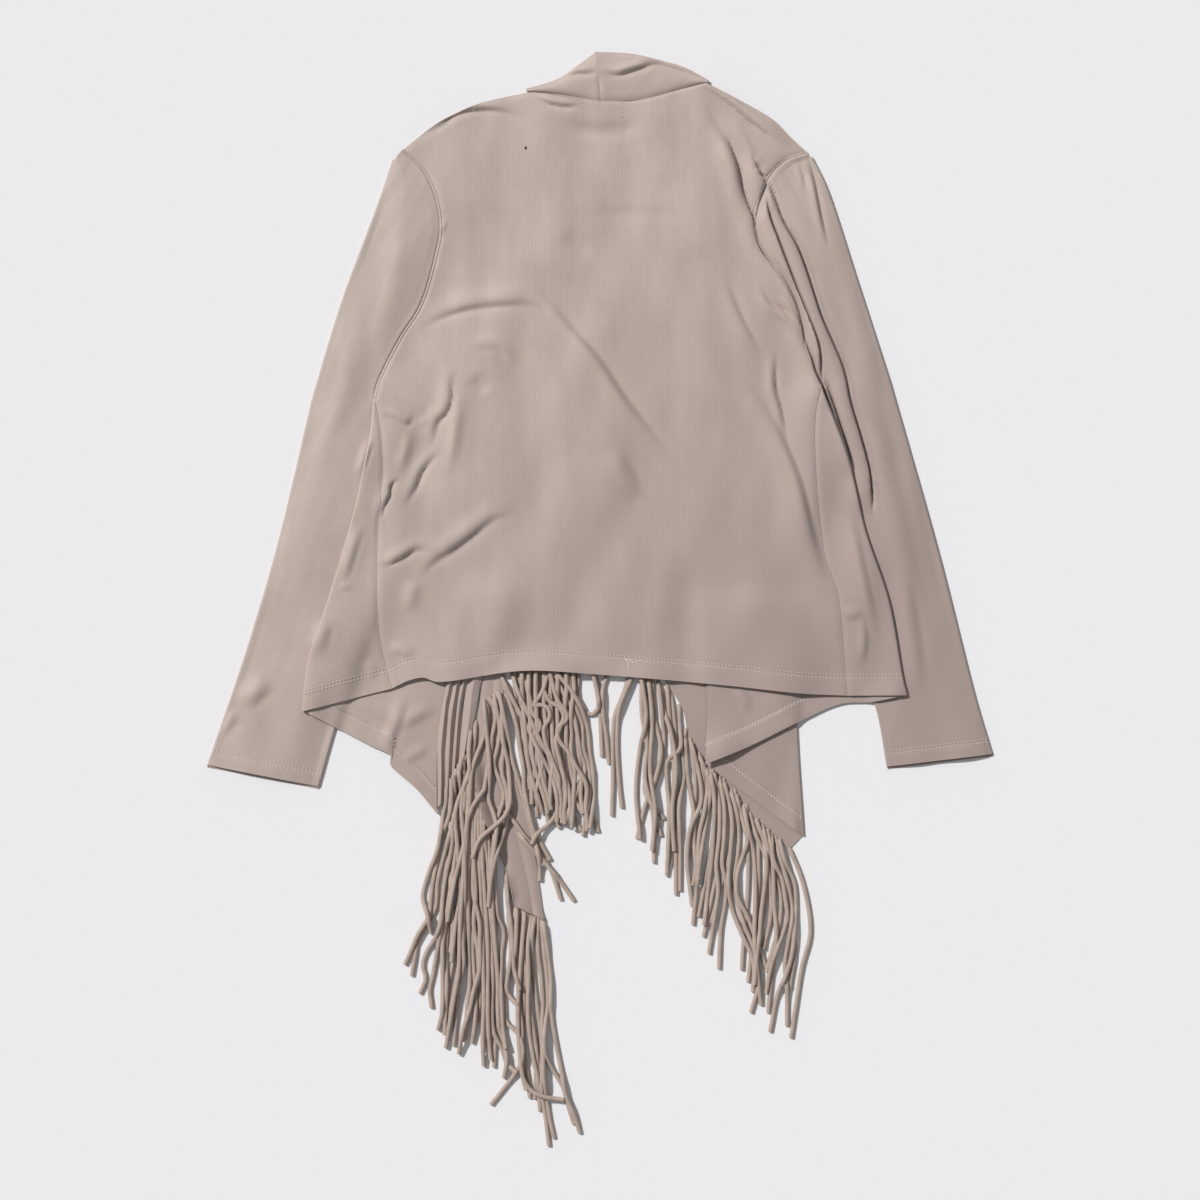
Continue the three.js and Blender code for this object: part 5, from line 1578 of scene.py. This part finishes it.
from_pinhole = np.linalg.norm(back_flat[:-1, :-1] - PINHOLE, axis=2)
pinhole_cell = np.unravel_index(np.argmin(from_pinhole), from_pinhole.shape)
back = panel("back_cloth", back_grid, holes=[pinhole_cell])

# %% [markdown]
# ## Hems and loose threads
#
# The hems are turned up 19 mm and coverstitched. Outside that shows as two fine rows of stitches,
# and inside as one looped zigzag. Geometry Nodes set the same small stitch along each row, which
# keeps the pitch even on a curved hem. The zigzag and the loose threads are swept like the cords.

# %% Stitch row in Geometry Nodes
STITCH_SEGMENTS = 6
STITCH_RINGS = 4


def stitch_row():
    tree, given = new_tree("stitch_row", ("Pitch", "Length", "Thickness"))
    spots = add_node(tree, "GeometryNodeCurveToPoints",
                     {"Curve": given.outputs["Paths"], "Length": given.outputs["Pitch"]}, mode="LENGTH")
    turn = add_node(tree, "FunctionNodeAlignRotationToVector", {"Vector": spots.outputs["Tangent"]}, axis="X")
    size = add_node(tree, "ShaderNodeCombineXYZ", {"X": given.outputs["Length"],
                                                   "Y": given.outputs["Thickness"],
                                                   "Z": given.outputs["Thickness"]})
    bead = add_node(tree, "GeometryNodeMeshUVSphere", Segments=STITCH_SEGMENTS, Rings=STITCH_RINGS,
                    Radius=0.5)
    placed = add_node(tree, "GeometryNodeInstanceOnPoints",
                      {"Points": spots.outputs["Points"], "Instance": bead.outputs["Mesh"],
                       "Rotation": turn.outputs[0], "Scale": size.outputs[0]})
    end_tree(tree, given, placed.outputs[0])
    return tree


def thread_material():
    """Spun polyester sewing thread, a shade lighter than the cloth, with a slight gloss."""
    finish, shader = new_finish("polyester_thread", Roughness=0.5)
    mottled(finish.node_tree, shader, 900.0, 2.0, "#C6BAB2", "#E4DBD4")
    return finish


stitch_tree = stitch_row()
thread_finish = thread_material()

# %% Rows on the hems
STITCH_PITCH = 3.6
STITCH_LENGTH = 2.5
ROW_GAP = 3.4
THREAD = 0.8
THREAD_LIFT = 0.3
THREAD_FLATNESS = 0.7
THREAD_PLACES = 12
LOOP_THREAD = 1.1
ZIGZAG_LIFT = -0.25
ZIGZAG_SWING = 1.8
ZIGZAG_PITCH = 3.6
TURNED_COLUMNS = 2
LABEL_ROWS = [[(581, 103), (582, 117)], [(622, 103), (622, 116)]]
LOOSE_THREADS = [[(625, 657), (629, 664), (628, 670)], [(629, 658), (634, 662), (641, 659)]]


def line_at(grid, distance):
    """The line on a grid that stays this far from its hem, lying on the upper face."""
    away = to_edge(grid, "bottom")
    places = [[np.interp(distance, away[::-1, c], grid[::-1, c, k]) for k in range(3)]
              for c in range(grid.shape[1])]
    return np.array(places) + [0, 0, CLOTH / 2 + THREAD_LIFT]


def double_row(grid, distance=HEM_DEPTH):
    """The two lines of stitches that show outside a hem."""
    return [line_at(grid, distance + ROW_GAP / 2), line_at(grid, distance - ROW_GAP / 2)]


def zigzag(grid):
    """A looped row as it shows on the inside of a hem."""
    line = line_at(grid, HEM_DEPTH)
    line = evenly(line, int(run_along(line)[-1] / ZIGZAG_PITCH) * 2)
    line[:, 2] += ZIGZAG_LIFT
    to_and_fro = np.where(np.arange(len(line)) % 2, ZIGZAG_SWING, -ZIGZAG_SWING)
    line[:, :2] += to_right(line[:, :2]) * to_and_fro[:, None]
    return line


def on_back(rows):
    """A thread between places on the plan, lying on the nearest points of the back."""
    line = trace(rows, THREAD_PLACES)
    points = back_grid.reshape(-1, 3)
    height = [points[np.argmin(np.sum((points[:, :2] - spot) ** 2, axis=1)), 2] for spot in line]
    return with_height(line, np.array(height) + CLOTH / 2 + THREAD_LIFT)


def stitched(name, lines):
    return plain_mesh(name, poly_curve(f"{name}_paths", lines), stitch_tree, Pitch=STITCH_PITCH / 1000,
                      Length=STITCH_LENGTH / 1000, Thickness=THREAD / 1000, Finish=thread_finish)


def threaded(name, lines, width):
    return plain_mesh(name, poly_curve(f"{name}_paths", lines), sweep_tree, Width=width / 1000,
                      Flatness=THREAD_FLATNESS, Finish=thread_finish)


STITCHES = {
    "stitches_back": double_row(back_grid) + [on_back(rows) for rows in LABEL_ROWS],
    "stitches_front_left": double_row(front_left_over),
    "stitches_front_right": double_row(front_right_over),
    "stitches_cuff_left": double_row(sleeve_left_top, CUFF_HEM),
    "stitches_cuff_right": double_row(sleeve_right_top, CUFF_HEM),
}
ZIGZAGS = {
    "zigzag_front_left": front_left_under[:, :-TURNED_COLUMNS],
    "zigzag_front_right": front_right_under[:, :-TURNED_COLUMNS],
    "zigzag_drape_right": drape_over,
}
sewing = {name: stitched(name, lines) for name, lines in STITCHES.items()}
for name, grid in ZIGZAGS.items():
    sewing[name] = threaded(name, [zigzag(grid)], LOOP_THREAD)
sewing["loose_threads_back"] = threaded("loose_threads_back", [on_back(rows) for rows in LOOSE_THREADS],
                                        THREAD)

# %% [markdown]
# ## Bodies and cloth areas
#
# Every piece rides on the one body, and each cloth piece and fringe stands for its CAD node, which
# is hidden. Each cloth piece prints the area of one face in square metres.

# %% Hand the pieces to the frame
CLOTH_PIECES = {
    "back": back, "sleeve_left": sleeve_left, "sleeve_right": sleeve_right, "front_left": front_left,
    "front_right": front_right, "front_left_inner": inner_panel, "front_left_pleats": pleats,
    "front_left_tail": tail, "front_right_drape": drape, "collar_left": collar_left,
    "collar_right": collar_right,
}


def cloth_area(made):
    """The area of one face of a wall of cloth, in square metres."""
    return sum(face.area for face in made.data.polygons) / 2


for node_name, piece in CLOTH_PIECES.items():
    piece.data.materials.append(jersey_finish)
    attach(piece, "root")
    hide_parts(node_name)
    print(node_name, "cloth area", round(cloth_area(piece), 4), "m2")
for piece in sewing.values():
    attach(piece, "root")
for node_name, piece in made_fringes.items():
    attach(piece, "root")
    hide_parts(node_name)
bpy.context.view_layer.update()
